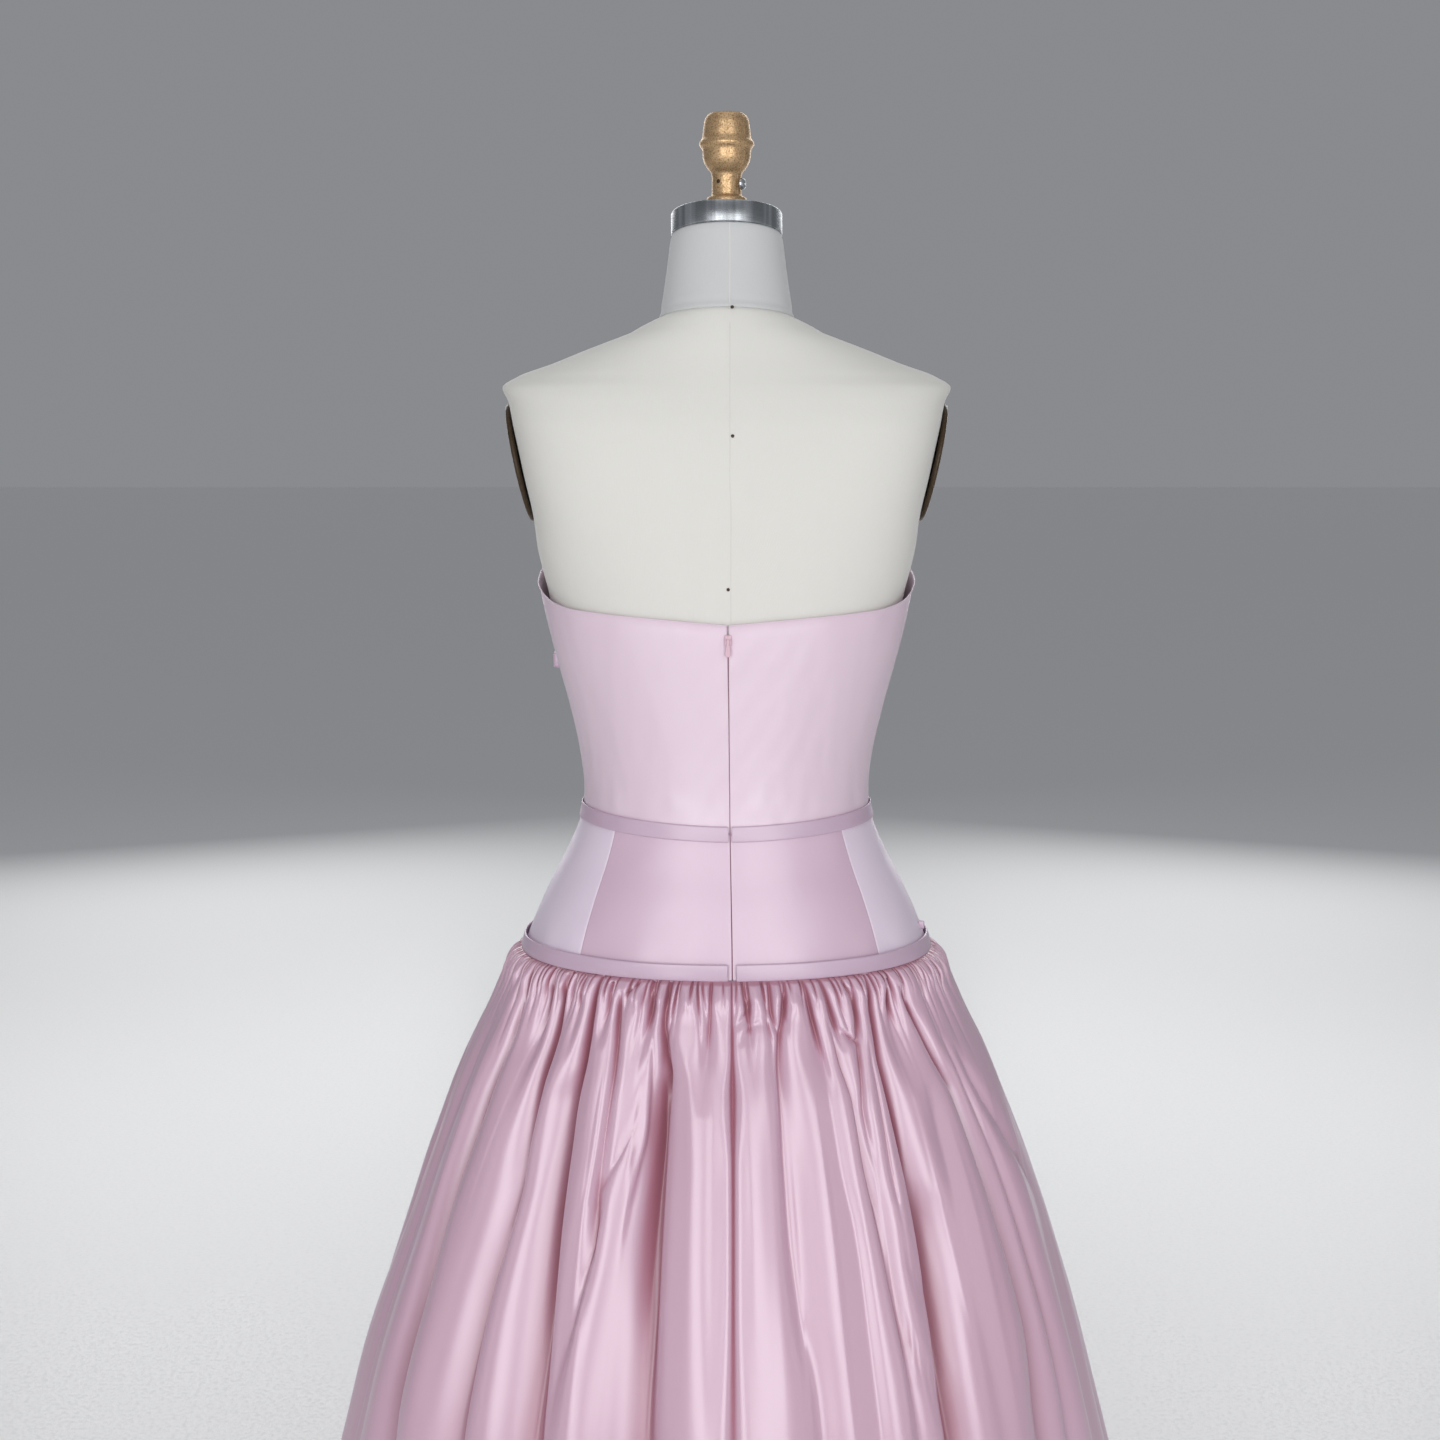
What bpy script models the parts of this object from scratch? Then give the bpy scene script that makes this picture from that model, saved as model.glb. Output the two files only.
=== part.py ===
"""A-line evening dress with a back zip, its skirt gathered into a hip band, on a limbless dress form.

Metres, +Z up, with the floor at Z = 0. The front faces -Y. The back, with the zip, faces +Y, so the
wearer's left is +X. A "turn" is an angle in degrees round the body from centre back: 90 is the
wearer's left side, 180 the centre front and 270 the wearer's right side.
"""

import math
from collections import namedtuple

import bmesh
import bpy
from mathutils import Matrix, Vector

COLLECTION_NAME = "evening_dress_on_form"

# Cloth and clearances
CLOTH_WALL = 0.0015
SKIRT_WALL = 0.0020
BAND_WALL = 0.0016
EASE = 0.0010
SEAM_GAP = 0.0003
BAND_LIFT = 0.0004
TOP_STAND_OFF = 0.0040
TOP_STAND_OFF_REACH = 0.065
TOP_STAND_OFF_POWER = 4
BUST_EASE = 0.0026
BUST_EASE_START = 1.070
BUST_EASE_FULL = 1.120

# Heights of the dress
HEM = 0.013
SKIRT_TOP = 0.9254
HIP_BAND_LOW = 0.9258
HIP_BAND_TALL = 0.0129
YOKE_LOW = 0.9292
WAIST_SEAM = 1.0352
WAIST_BAND_LOW = 1.0290
WAIST_BAND_TALL = 0.0120
WAIST_RISE = 0.0055
WAIST_RISE_POWER = 1.4
HIP_BAND_ROLL = 0.0014

# Gaps between the two ends of each band at centre back
WAIST_BAND_OPENING = 0.0022
HIP_BAND_OPENING = 0.0040

# Side seams and princess seams, in turns
SIDE_TURN = 90.0
FRONT_PRINCESS_TURN = 142.5
BACK_PRINCESS_LOW_TURN = 45.4
BACK_PRINCESS_HIGH_TURN = 48.2
BODY_STEP = 7.5

# Rows of each panel as shares of its height: closer together where the waist curves in
BODICE_LEVELS = (0.0, 0.07, 0.18, 0.34, 0.51, 0.67, 0.84, 1.0)
YOKE_LEVELS = (0.0, 0.30, 0.62, 0.84, 0.95, 1.0)

# Bust of the form: two soft swells
BUST_TURN = 146.0
BUST_WIDE = 25.0
BUST_HEIGHT = 1.186
BUST_TALL = 0.056
BUST_SWELL = 0.022

# The form's bottom, neck and cap
FORM_LOW = 0.800
NECK_TILT = math.radians(9.5)
NECK_SEAT = Vector((0.0, 0.012, 1.4285))
NECK_LENGTH = 0.0668
NECK_SIDES = 28
CAP_RADIUS = 0.0435
CAP_TALL = 0.0172
CAP_BEVEL = 0.0012
CAP_SIDES = 36

# Finial and its screw
FINIAL_STEPS = 20
FINIAL_BACK = -0.0022
CUTTER_SIZE = 0.060
SCREW_HEIGHT = 1.5335
SCREW_AZIMUTH = math.radians(150.0)
SCREW_HEAD_RADIUS = 0.0046
SCREW_SHANK_RADIUS = 0.0020
SCREW_STEPS = 16
COLLAR_RADIUS = 0.0115

# Arm plates: oval discs that close the form's armholes
PLATE_HEIGHT = 1.318
PLATE_BACK = -0.004
PLATE_TALL = 0.046
PLATE_DEEP = 0.040
PLATE_THICK = 0.0040
PLATE_CLEARANCE = 0.0005
PLATE_BEVEL = 0.0012
PLATE_SIDES = 28

# Stand
BASE_RADIUS = 0.210
BASE_THICK = 0.012
BASE_RISE = 0.004
BASE_EDGE_WIDE = 0.012
BASE_EDGE_DROP = 0.006
BASE_STEPS = 36
HUB_RADIUS = 0.030
HUB_HEIGHT = 0.045
HUB_CHAMFER = 0.003
POLE_RADIUS = 0.0145
POLE_SIDES = 20

# Zip
SLIDER_HEIGHT = 1.1870
SLIDER_WIDE = 0.0050
SLIDER_TALL = 0.0080
SLIDER_THICK = 0.0012
SLIDER_BEVEL = 0.0003
CHEEK_THICK = 0.0009
CHEEK_TALL = 0.0022
CHEEK_PAST_PIVOT = 0.0006
PIVOT_ABOVE_SLIDER = 0.0009
PIVOT_ABOVE_MIDDLE = 0.0004
PULL_LONG = 0.0136
PULL_ABOVE_PIVOT = 0.0006
PULL_NECK_LONG = 0.0030
PULL_NECK_WIDE = 0.0022
PULL_WIDE = 0.0038
PULL_THICK = 0.0010
# The round tip of the pull tab runs through these corners, from one flank to the other
TIP_CORNERS = 9
TIP_START = 10.0
TIP_END = -190.0

# Small cloth ends at the two sides
TAB_TURN = 93.0
TAB_LOW = 1.1530
TAB_TALL = 0.0130
TAB_LONG = 0.0180
TAB_THICK = 0.0026
NUB_TURN = 278.0
NUB_LOW = 0.9415
NUB_TALL = 0.0070
NUB_LONG = 0.0045
NUB_THICK = 0.0018

# Shading and bevels start at these angles
SMOOTH_ANGLE = math.radians(40.0)
BEVEL_ANGLE = math.radians(50.0)

Section = namedtuple("Section", "height half_width back front squareness")
FORM_SECTIONS = (
    Section(0.8000, 0.1630, 0.1130, 0.1040, 2.10),
    Section(0.8400, 0.1690, 0.1170, 0.1080, 2.10),
    Section(0.8800, 0.1696, 0.1175, 0.1085, 2.10),
    Section(0.9150, 0.1664, 0.1155, 0.1065, 2.10),
    Section(0.9480, 0.1552, 0.1100, 0.1015, 2.10),
    Section(0.9780, 0.1416, 0.1020, 0.0960, 2.10),
    Section(1.0080, 0.1265, 0.0925, 0.0900, 2.10),
    Section(1.0340, 0.1160, 0.0868, 0.0868, 2.10),
    Section(1.0460, 0.1135, 0.0855, 0.0865, 2.10),
    Section(1.0600, 0.1133, 0.0853, 0.0866, 2.10),
    Section(1.0880, 0.1162, 0.0868, 0.0885, 2.10),
    Section(1.1270, 0.1247, 0.0910, 0.0935, 2.15),
    Section(1.1430, 0.1290, 0.0930, 0.0955, 2.18),
    Section(1.1570, 0.1328, 0.0948, 0.0970, 2.20),
    Section(1.1710, 0.1358, 0.0967, 0.0982, 2.25),
    Section(1.1860, 0.1381, 0.0985, 0.0990, 2.30),
    Section(1.2000, 0.1398, 0.1000, 0.0990, 2.35),
    Section(1.2150, 0.1418, 0.1012, 0.0985, 2.40),
    Section(1.2330, 0.1460, 0.1025, 0.0980, 2.55),
    Section(1.2535, 0.1503, 0.1035, 0.0975, 2.70),
    Section(1.2730, 0.1521, 0.1040, 0.0965, 3.00),
    Section(1.3110, 0.1600, 0.1025, 0.0920, 3.20),
    Section(1.3450, 0.1671, 0.0975, 0.0850, 3.20),
    Section(1.3660, 0.1716, 0.0905, 0.0770, 2.90),
    Section(1.3770, 0.1766, 0.0860, 0.0715, 2.50),
    Section(1.3860, 0.1641, 0.0820, 0.0660, 2.20),
    Section(1.3955, 0.1379, 0.0775, 0.0600, 2.10),
    Section(1.4050, 0.1141, 0.0735, 0.0540, 2.00),
    Section(1.4170, 0.0797, 0.0680, 0.0465, 2.00),
)
# The neckwards tilt of the sections starts at this height and is whole at the neck's seat.
TILT_START = 1.3800

NeckSection = namedtuple("NeckSection", "along half_width half_depth")
NECK_SECTIONS = (
    NeckSection(0.0000, 0.0528, 0.0505),
    NeckSection(0.0120, 0.0508, 0.0484),
    NeckSection(0.0300, 0.0481, 0.0458),
    NeckSection(0.0500, 0.0455, 0.0439),
    NeckSection(0.0620, 0.0440, 0.0432),
    NeckSection(0.0668, 0.0425, 0.0422),
)

Edge = namedtuple("Edge", "turn height")
BODICE_TOP = (
    Edge(0.0, 1.1980),
    Edge(15.0, 1.2016),
    Edge(37.0, 1.2050),
    Edge(52.0, 1.2070),
    Edge(63.0, 1.2098),
    Edge(78.0, 1.2176),
    Edge(92.0, 1.2260),
    Edge(115.0, 1.2370),
    Edge(145.0, 1.2460),
    Edge(180.0, 1.2340),
)

Lean = namedtuple("Lean", "height degrees")
# How far the centre-back line stands round from the body's own centre, to the wearer's right.
ZIP_LEAN = (
    Lean(0.013, 0.50),
    Lean(0.650, 0.86),
    Lean(0.860, 1.20),
    Lean(0.940, 1.24),
    Lean(1.050, 1.00),
    Lean(1.198, 0.13),
    Lean(1.300, 0.00),
)

Flare = namedtuple("Flare", "height half_width")
SKIRT_FLARE = (
    Flare(HEM, 0.4680),
    Flare(0.2500, 0.3985),
    Flare(0.4880, 0.3276),
    Flare(0.6140, 0.2905),
    Flare(0.7200, 0.2584),
    Flare(0.7900, 0.2338),
    Flare(0.8420, 0.2136),
    Flare(0.8760, 0.1972),
    Flare(0.8970, 0.1874),
    Flare(0.9170, 0.1775),
    Flare(SKIRT_TOP, 0.1708),
)
# The skirt is narrower from front to back than from side to side by this much on each side.
SKIRT_FLATNESS = 0.0495

Growth = namedtuple("Growth", "height folds gathers")
FOLD_GROWTH = (
    Growth(HEM, 1.25, 0.00),
    Growth(0.2500, 1.15, 0.00),
    Growth(0.4880, 1.00, 0.02),
    Growth(0.6500, 0.80, 0.10),
    Growth(0.7600, 0.52, 0.35),
    Growth(0.8420, 0.25, 0.75),
    Growth(0.8900, 0.09, 1.00),
    Growth(0.9150, 0.02, 0.80),
    Growth(SKIRT_TOP, 0.00, 0.45),
)
GATHER_DEPTH = 0.0040
GATHER_RHYTHM = (1.00, 0.62, 0.88, 0.48, 0.95, 0.72, 0.55)
FOLD_ROUNDNESS = 0.75
GATHER_ROUNDNESS = 0.80

# A row for each large fold: its share of the panel, the depth of the valley that ends it where
# the fold is fully open, the gathers that run into it, and where its crest lies from 0 to 1.
Fold = namedtuple("Fold", "degrees valley gathers crest")
BACK_LEFT_FOLDS = (
    Fold(4.0, 0.007, 1, 0.50),
    Fold(7.0, 0.033, 2, 0.42),
    Fold(8.0, 0.020, 2, 0.50),
    Fold(11.0, 0.028, 3, 0.62),
    Fold(13.0, 0.024, 3, 0.66),
    Fold(15.0, 0.028, 4, 0.55),
    Fold(16.0, 0.020, 4, 0.45),
    Fold(16.0, 0.024, 5, 0.50),
)
FRONT_FOLDS = (
    Fold(14.0, 0.022, 4, 0.45),
    Fold(10.0, 0.017, 3, 0.55),
    Fold(15.0, 0.031, 4, 0.60),
    Fold(12.0, 0.020, 3, 0.45),
    Fold(9.0, 0.014, 2, 0.50),
    Fold(14.0, 0.030, 4, 0.40),
    Fold(13.0, 0.018, 3, 0.55),
    Fold(11.0, 0.026, 3, 0.62),
    Fold(16.0, 0.032, 4, 0.50),
    Fold(10.0, 0.015, 2, 0.45),
    Fold(13.0, 0.024, 3, 0.40),
    Fold(15.0, 0.030, 4, 0.58),
    Fold(12.0, 0.018, 3, 0.50),
    Fold(16.0, 0.024, 4, 0.55),
)
BACK_RIGHT_FOLDS = (
    Fold(15.0, 0.020, 4, 0.50),
    Fold(14.0, 0.022, 4, 0.55),
    Fold(7.0, 0.021, 2, 0.50),
    Fold(9.0, 0.012, 2, 0.45),
    Fold(10.0, 0.014, 3, 0.50),
    Fold(6.0, 0.024, 2, 0.60),
    Fold(6.0, 0.015, 2, 0.50),
    Fold(9.0, 0.013, 2, 0.45),
    Fold(6.0, 0.014, 2, 0.50),
    Fold(8.0, 0.009, 2, 0.45),
)

# Skirt rings: the low ones have two columns for each gather and the high ones four.
LOW_RINGS = (HEM, 0.330, 0.570, 0.700, 0.790, 0.870)
HIGH_RINGS = (0.908, SKIRT_TOP)
LOW_STEPS = 2
HIGH_STEPS = 4

TurnedPoint = namedtuple("TurnedPoint", "radius height")
FINIAL_PROFILE = (
    TurnedPoint(0.0000, 1.5883),
    TurnedPoint(0.0105, 1.5880),
    TurnedPoint(0.0152, 1.5858),
    TurnedPoint(0.0175, 1.5810),
    TurnedPoint(0.0184, 1.5745),
    TurnedPoint(0.0190, 1.5690),
    TurnedPoint(0.0212, 1.5660),
    TurnedPoint(0.0217, 1.5640),
    TurnedPoint(0.0206, 1.5620),
    TurnedPoint(0.0190, 1.5600),
    TurnedPoint(0.0187, 1.5540),
    TurnedPoint(0.0169, 1.5488),
    TurnedPoint(0.0143, 1.5448),
    TurnedPoint(0.0117, 1.5418),
    TurnedPoint(COLLAR_RADIUS, 1.5390),
    TurnedPoint(COLLAR_RADIUS, 1.5250),
    TurnedPoint(0.0150, 1.5240),
    TurnedPoint(0.0156, 1.5228),
    TurnedPoint(0.0156, 1.5040),
    TurnedPoint(0.0000, 1.5040),
)
BASE_PROFILE = (
    TurnedPoint(0.0000, HUB_HEIGHT),
    TurnedPoint(HUB_RADIUS - HUB_CHAMFER, HUB_HEIGHT),
    TurnedPoint(HUB_RADIUS, HUB_HEIGHT - HUB_CHAMFER),
    TurnedPoint(HUB_RADIUS, BASE_THICK + BASE_RISE),
    TurnedPoint(BASE_RADIUS - BASE_EDGE_WIDE, BASE_THICK),
    TurnedPoint(BASE_RADIUS, BASE_THICK - BASE_EDGE_DROP),
    TurnedPoint(BASE_RADIUS, 0.0),
    TurnedPoint(0.0000, 0.0),
)
SCREW_PROFILE = (
    TurnedPoint(0.0000, 0.0045),
    TurnedPoint(0.0026, 0.0042),
    TurnedPoint(SCREW_HEAD_RADIUS, 0.0028),
    TurnedPoint(SCREW_HEAD_RADIUS, 0.0016),
    TurnedPoint(SCREW_SHANK_RADIUS, 0.0014),
    TurnedPoint(SCREW_SHANK_RADIUS, 0.0),
    TurnedPoint(0.0000, 0.0),
)

Look = namedtuple("Look", "color roughness metallic")
SATIN = Look((0.82, 0.65, 0.72), 0.42, 0.0)
COTTON = Look((0.78, 0.77, 0.72), 0.90, 0.0)
STEEL = Look((0.60, 0.62, 0.65), 0.28, 1.0)
GOLD = Look((0.52, 0.37, 0.20), 0.45, 0.8)
BROWN = Look((0.16, 0.10, 0.06), 0.55, 0.0)
IRON = Look((0.10, 0.10, 0.11), 0.60, 1.0)
ZIP_PINK = Look((0.80, 0.60, 0.68), 0.35, 0.0)


def remove_all_objects():
    for item in list(bpy.data.objects):
        bpy.data.objects.remove(item, do_unlink=True)


def smooth_value(rows, name, at, by="height"):
    """One column of a table at a place between its rows, on a monotone cubic curve."""
    places = [getattr(row, by) for row in rows]
    values = [getattr(row, name) for row in rows]
    if at <= places[0]:
        return values[0]
    if at >= places[-1]:
        return values[-1]
    spans = [high - low for low, high in zip(places, places[1:])]
    rises = [(high - low) / span for low, high, span in zip(values, values[1:], spans)]
    slopes = [rises[0]]
    for before, after in zip(rises, rises[1:]):
        slopes.append(0.0 if before * after <= 0.0 else 2.0 * before * after / (before + after))
    slopes.append(rises[-1])
    index = max(i for i, place in enumerate(places) if place <= at)
    index = min(index, len(spans) - 1)
    span = spans[index]
    share = (at - places[index]) / span
    start_weight = (1.0 + 2.0 * share) * (1.0 - share) ** 2
    end_weight = share * share * (3.0 - 2.0 * share)
    start_slope = share * (1.0 - share) ** 2 * span
    end_slope = share * share * (share - 1.0) * span
    return (
        start_weight * values[index]
        + end_weight * values[index + 1]
        + start_slope * slopes[index]
        + end_slope * slopes[index + 1]
    )


def ease_between(low, high, value):
    """0 below low, 1 above high, and a smooth step between."""
    share = min(1.0, max(0.0, (value - low) / (high - low)))
    return share * share * (3.0 - 2.0 * share)


def signed_power(value, power):
    return math.copysign(abs(value) ** power, value)


def zip_lean(height):
    return smooth_value(ZIP_LEAN, "degrees", height)


def ring_point(half_width, back, front, squareness, turn, outward=0.0, slide=0.0):
    """A point on an oval ring, moved outward from it and sideways along it: x and y."""
    angle = math.radians(turn)
    across = signed_power(math.sin(angle), 2.0 / squareness)
    along = signed_power(math.cos(angle), 2.0 / squareness)
    depth = back if along > 0.0 else front
    normal = Vector((
        signed_power(across, squareness - 1.0) / half_width,
        signed_power(along, squareness - 1.0) / depth,
    ))
    normal.normalize()
    tangent = Vector((normal.y, -normal.x))
    return Vector((half_width * across, depth * along)) + outward * normal + slide * tangent


def bust_swell(turn, height):
    """How far the form's two soft bust swells stand out."""
    from_front = abs(180.0 - turn % 360.0)
    across = (from_front - (180.0 - BUST_TURN)) / BUST_WIDE
    up = (height - BUST_HEIGHT) / BUST_TALL
    return BUST_SWELL * math.exp(-across * across - up * up)


def body_point(turn, height, outward=0.0, slide=0.0):
    """A point at a height on the form, moved outward from its surface."""
    half_width, back, front, squareness = (
        smooth_value(FORM_SECTIONS, name, height)
        for name in ("half_width", "back", "front", "squareness")
    )
    leaning_turn = turn - zip_lean(height)
    out = outward + bust_swell(leaning_turn, height)
    x, y = ring_point(half_width, back, front, squareness, leaning_turn, out, slide)
    tilt = math.tan(NECK_TILT) * ease_between(TILT_START, NECK_SEAT.z, height)
    return Vector((x, y, height + tilt * (y - NECK_SEAT.y)))


def turns_between(start, end, step=BODY_STEP):
    cells = max(1, round((end - start) / step))
    return [start + (end - start) * i / cells for i in range(cells + 1)]


def collection():
    found = bpy.data.collections.get(COLLECTION_NAME)
    if found is None:
        found = bpy.data.collections.new(COLLECTION_NAME)
        bpy.context.scene.collection.children.link(found)
    return found


def cutters():
    found = bpy.data.collections.get("cutters")
    if found is None:
        found = bpy.data.collections.new("cutters")
        bpy.context.scene.collection.children.link(found)
    return found


def give_look(piece, look):
    material = bpy.data.materials.new(piece.name)
    material.use_nodes = True
    shader = material.node_tree.nodes["Principled BSDF"]
    shader.inputs["Base Color"].default_value = (*look.color, 1.0)
    shader.inputs["Roughness"].default_value = look.roughness
    shader.inputs["Metallic"].default_value = look.metallic
    material.diffuse_color = (*look.color, 1.0)
    piece.data.materials.clear()
    piece.data.materials.append(material)


def place_mesh(name, work, look, into=None):
    """A finished bmesh as a named object in the model's collection."""
    mesh = bpy.data.meshes.new(name)
    work.to_mesh(mesh)
    work.free()
    mesh.shade_smooth()
    mesh.set_sharp_from_angle(angle=SMOOTH_ANGLE)
    piece = bpy.data.objects.new(name, mesh)
    (into or collection()).objects.link(piece)
    if look is not None:
        give_look(piece, look)
    return piece


def sheet_faces(work, low, high):
    """Faces between two rows of points, facing out. The high row has as many points, or twice."""
    if len(low) == len(high):
        for i in range(len(low) - 1):
            work.faces.new((low[i], high[i], high[i + 1], low[i + 1]))
        return
    for i in range(len(low) - 1):
        middle = high[2 * i + 1]
        work.faces.new((low[i], high[2 * i], middle))
        work.faces.new((low[i], middle, low[i + 1]))
        work.faces.new((low[i + 1], middle, high[2 * i + 2]))


def cloth_wall(name, outer_rows, inner_rows, look=SATIN):
    """A wall of cloth between two sets of rows of points, low to high, closed at its edges."""
    work = bmesh.new()
    outer = [[work.verts.new(point) for point in row] for row in outer_rows]
    inner = [[work.verts.new(point) for point in row] for row in inner_rows]
    for rows in (outer, inner):
        for low, high in zip(rows, rows[1:]):
            sheet_faces(work, low, high)
    for out_row, in_row in ((outer[0], inner[0]), (outer[-1], inner[-1])):
        for i in range(len(out_row) - 1):
            work.faces.new((out_row[i], out_row[i + 1], in_row[i + 1], in_row[i]))
    for end in (0, -1):
        for i in range(len(outer) - 1):
            work.faces.new((outer[i][end], outer[i + 1][end], inner[i + 1][end], inner[i][end]))
    bmesh.ops.recalc_face_normals(work, faces=work.faces)
    return place_mesh(name, work, look)


def body_wall(name, rows, wall):
    """A wall of cloth on the form. Each row holds (turn, height, outward, slide) places."""
    outer = [[body_point(turn, height, out, slide) for turn, height, out, slide in row] for row in rows]
    inner = [
        [body_point(turn, height, out - wall, slide) for turn, height, out, slide in row]
        for row in rows
    ]
    return cloth_wall(name, outer, inner)


def closed_loft(name, rings, look):
    """A closed body through rings of points, low to high, with flat ends."""
    work = bmesh.new()
    verts = [[work.verts.new(point) for point in ring] for ring in rings]
    for low, high in zip(verts, verts[1:]):
        sheet_faces(work, low + low[:1], high + high[:1])
    work.faces.new(verts[0])
    work.faces.new(reversed(verts[-1]))
    bmesh.ops.recalc_face_normals(work, faces=work.faces)
    return place_mesh(name, work, look)


def turned_body(name, profile, steps, look):
    """A profile of radius and height, top to bottom, turned round the object's own Z axis."""
    mesh = bpy.data.meshes.new(name)
    points = [(point.radius, 0.0, point.height) for point in profile]
    edges = [(i, i + 1) for i in range(len(points) - 1)]
    mesh.from_pydata(points, edges, [])
    piece = bpy.data.objects.new(name, mesh)
    collection().objects.link(piece)
    turn = piece.modifiers.new("turn", "SCREW")
    turn.steps = steps
    turn.render_steps = steps
    turn.use_merge_vertices = True
    turn.merge_threshold = 0.0001
    turn.use_smooth_shade = True
    give_look(piece, look)
    return piece


def bevelled(piece, width):
    bevel = piece.modifiers.new("bevel", "BEVEL")
    bevel.width = width
    bevel.segments = 1
    bevel.limit_method = "ANGLE"
    bevel.angle_limit = BEVEL_ANGLE
    return piece


def neck_frame():
    """The neck's own frame: origin on the form's neck seat, Z along the neck."""
    return Matrix.Translation(NECK_SEAT) @ Matrix.Rotation(NECK_TILT, 4, "X")


# Dress form and stand


def neck_ring(along, half_width, half_depth, sides):
    frame = neck_frame()
    ring = []
    for turn in turns_between(0.0, 360.0, 360.0 / sides)[:-1]:
        x, y = ring_point(half_width, half_depth, half_depth, 2.0, turn)
        ring.append(frame @ Vector((x, y, along)))
    return ring


def build_torso():
    turns = turns_between(0.0, 360.0)[:-1]
    rings = [[body_point(turn, section.height) for turn in turns] for section in FORM_SECTIONS]
    seat = NECK_SECTIONS[0]
    rings.append(neck_ring(-SEAM_GAP, seat.half_width, seat.half_depth, len(turns)))
    return closed_loft("form_torso", rings, COTTON)


def build_neck():
    rings = [
        neck_ring(section.along, section.half_width, section.half_depth, NECK_SIDES)
        for section in NECK_SECTIONS
    ]
    return closed_loft("form_neck", rings, COTTON)


def build_cap():
    middle = neck_frame() @ Vector((0.0, 0.0, NECK_LENGTH + SEAM_GAP + CAP_TALL / 2.0))
    bpy.ops.mesh.primitive_cylinder_add(
        vertices=CAP_SIDES, radius=CAP_RADIUS, depth=CAP_TALL, location=middle,
        rotation=(NECK_TILT, 0.0, 0.0),
    )
    return bevelled(adopt("neck_cap", STEEL), CAP_BEVEL)


def adopt(name, look):
    """Name the primitive that was just added and move it to the model's collection."""
    piece = bpy.context.object
    piece.name = name
    piece.data.name = name
    for holder in list(piece.users_collection):
        holder.objects.unlink(piece)
    collection().objects.link(piece)
    piece.data.shade_smooth()
    piece.data.set_sharp_from_angle(angle=SMOOTH_ANGLE)
    give_look(piece, look)
    return piece


def build_finial():
    """The finial's flange is cut to sit on the tilted cap."""
    finial = turned_body("finial", FINIAL_PROFILE, FINIAL_STEPS, GOLD)
    finial.location = (0.0, FINIAL_BACK, 0.0)
    top = NECK_LENGTH + CAP_TALL + 2.0 * SEAM_GAP
    cutter = cutter_box("cap_plane_cutter", (CUTTER_SIZE, CUTTER_SIZE, CUTTER_SIZE))
    cutter.matrix_world = neck_frame() @ Matrix.Translation((0.0, 0.0, top - CUTTER_SIZE / 2.0))
    cut = finial.modifiers.new("seat_on_cap", "BOOLEAN")
    cut.operation = "DIFFERENCE"
    cut.object = cutter
    return finial


def build_set_screw():
    """A button-headed screw in the finial's collar."""
    screw = turned_body("set_screw", SCREW_PROFILE, SCREW_STEPS, STEEL)
    outward = Vector((math.cos(SCREW_AZIMUTH), math.sin(SCREW_AZIMUTH), 0.0))
    collar_axis = Vector((0.0, FINIAL_BACK, SCREW_HEIGHT))
    screw.location = collar_axis + outward * (COLLAR_RADIUS + SEAM_GAP)
    screw.rotation_euler = (0.0, math.radians(90.0), SCREW_AZIMUTH)
    return screw


def build_arm_plate(name, side):
    """An oval disc on the flat of the form's armhole."""
    low, high = PLATE_HEIGHT - PLATE_TALL, PLATE_HEIGHT + PLATE_TALL
    flat_low = smooth_value(FORM_SECTIONS, "half_width", low)
    flat_high = smooth_value(FORM_SECTIONS, "half_width", high)
    slope = math.atan2(flat_high - flat_low, high - low)
    inner = (flat_low + flat_high) / 2.0
    middle = inner + (PLATE_THICK / 2.0 + PLATE_CLEARANCE) / math.cos(slope)
    bpy.ops.mesh.primitive_cylinder_add(vertices=PLATE_SIDES, radius=1.0, depth=PLATE_THICK)
    plate = adopt(name, BROWN)
    plate.data.transform(Matrix.Diagonal((PLATE_TALL / math.cos(slope), PLATE_DEEP, 1.0, 1.0)))
    plate.location = (side * middle, PLATE_BACK, PLATE_HEIGHT)
    plate.rotation_euler = (0.0, side * (math.radians(90.0) + slope), 0.0)
    return bevelled(plate, PLATE_BEVEL)


def build_stand():
    base = turned_body("base", BASE_PROFILE, BASE_STEPS, IRON)
    low, high = HUB_HEIGHT + SEAM_GAP, FORM_LOW - SEAM_GAP
    bpy.ops.mesh.primitive_cylinder_add(
        vertices=POLE_SIDES, radius=POLE_RADIUS, depth=high - low,
        location=(0.0, 0.0, (low + high) / 2.0),
    )
    return base, adopt("pole", STEEL)


# Bodice, yoke and bands


def waist_rise(turn):
    return WAIST_RISE * abs(math.sin(math.radians(turn))) ** WAIST_RISE_POWER


def bodice_top(turn):
    folded = 180.0 - abs(180.0 - turn % 360.0)
    return smooth_value(BODICE_TOP, "height", folded, by="turn")


def bodice_outward(turn, height):
    """The bodice lies close to the form, and its top edge stands off it at the sides."""
    at_side = math.sin(math.radians(turn)) ** TOP_STAND_OFF_POWER
    near_top = ease_between(bodice_top(turn) - TOP_STAND_OFF_REACH, bodice_top(turn), height)
    at_front = max(0.0, -math.cos(math.radians(turn)))
    over_bust = BUST_EASE * at_front * ease_between(BUST_EASE_START, BUST_EASE_FULL, height)
    return EASE + CLOTH_WALL + TOP_STAND_OFF * at_side * near_top + over_bust


def end_slide(index, count):
    """Half a seam gap, inward from the first and the last column of a panel."""
    if index == 0:
        return SEAM_GAP / 2.0
    if index == count - 1:
        return -SEAM_GAP / 2.0
    return 0.0


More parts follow.
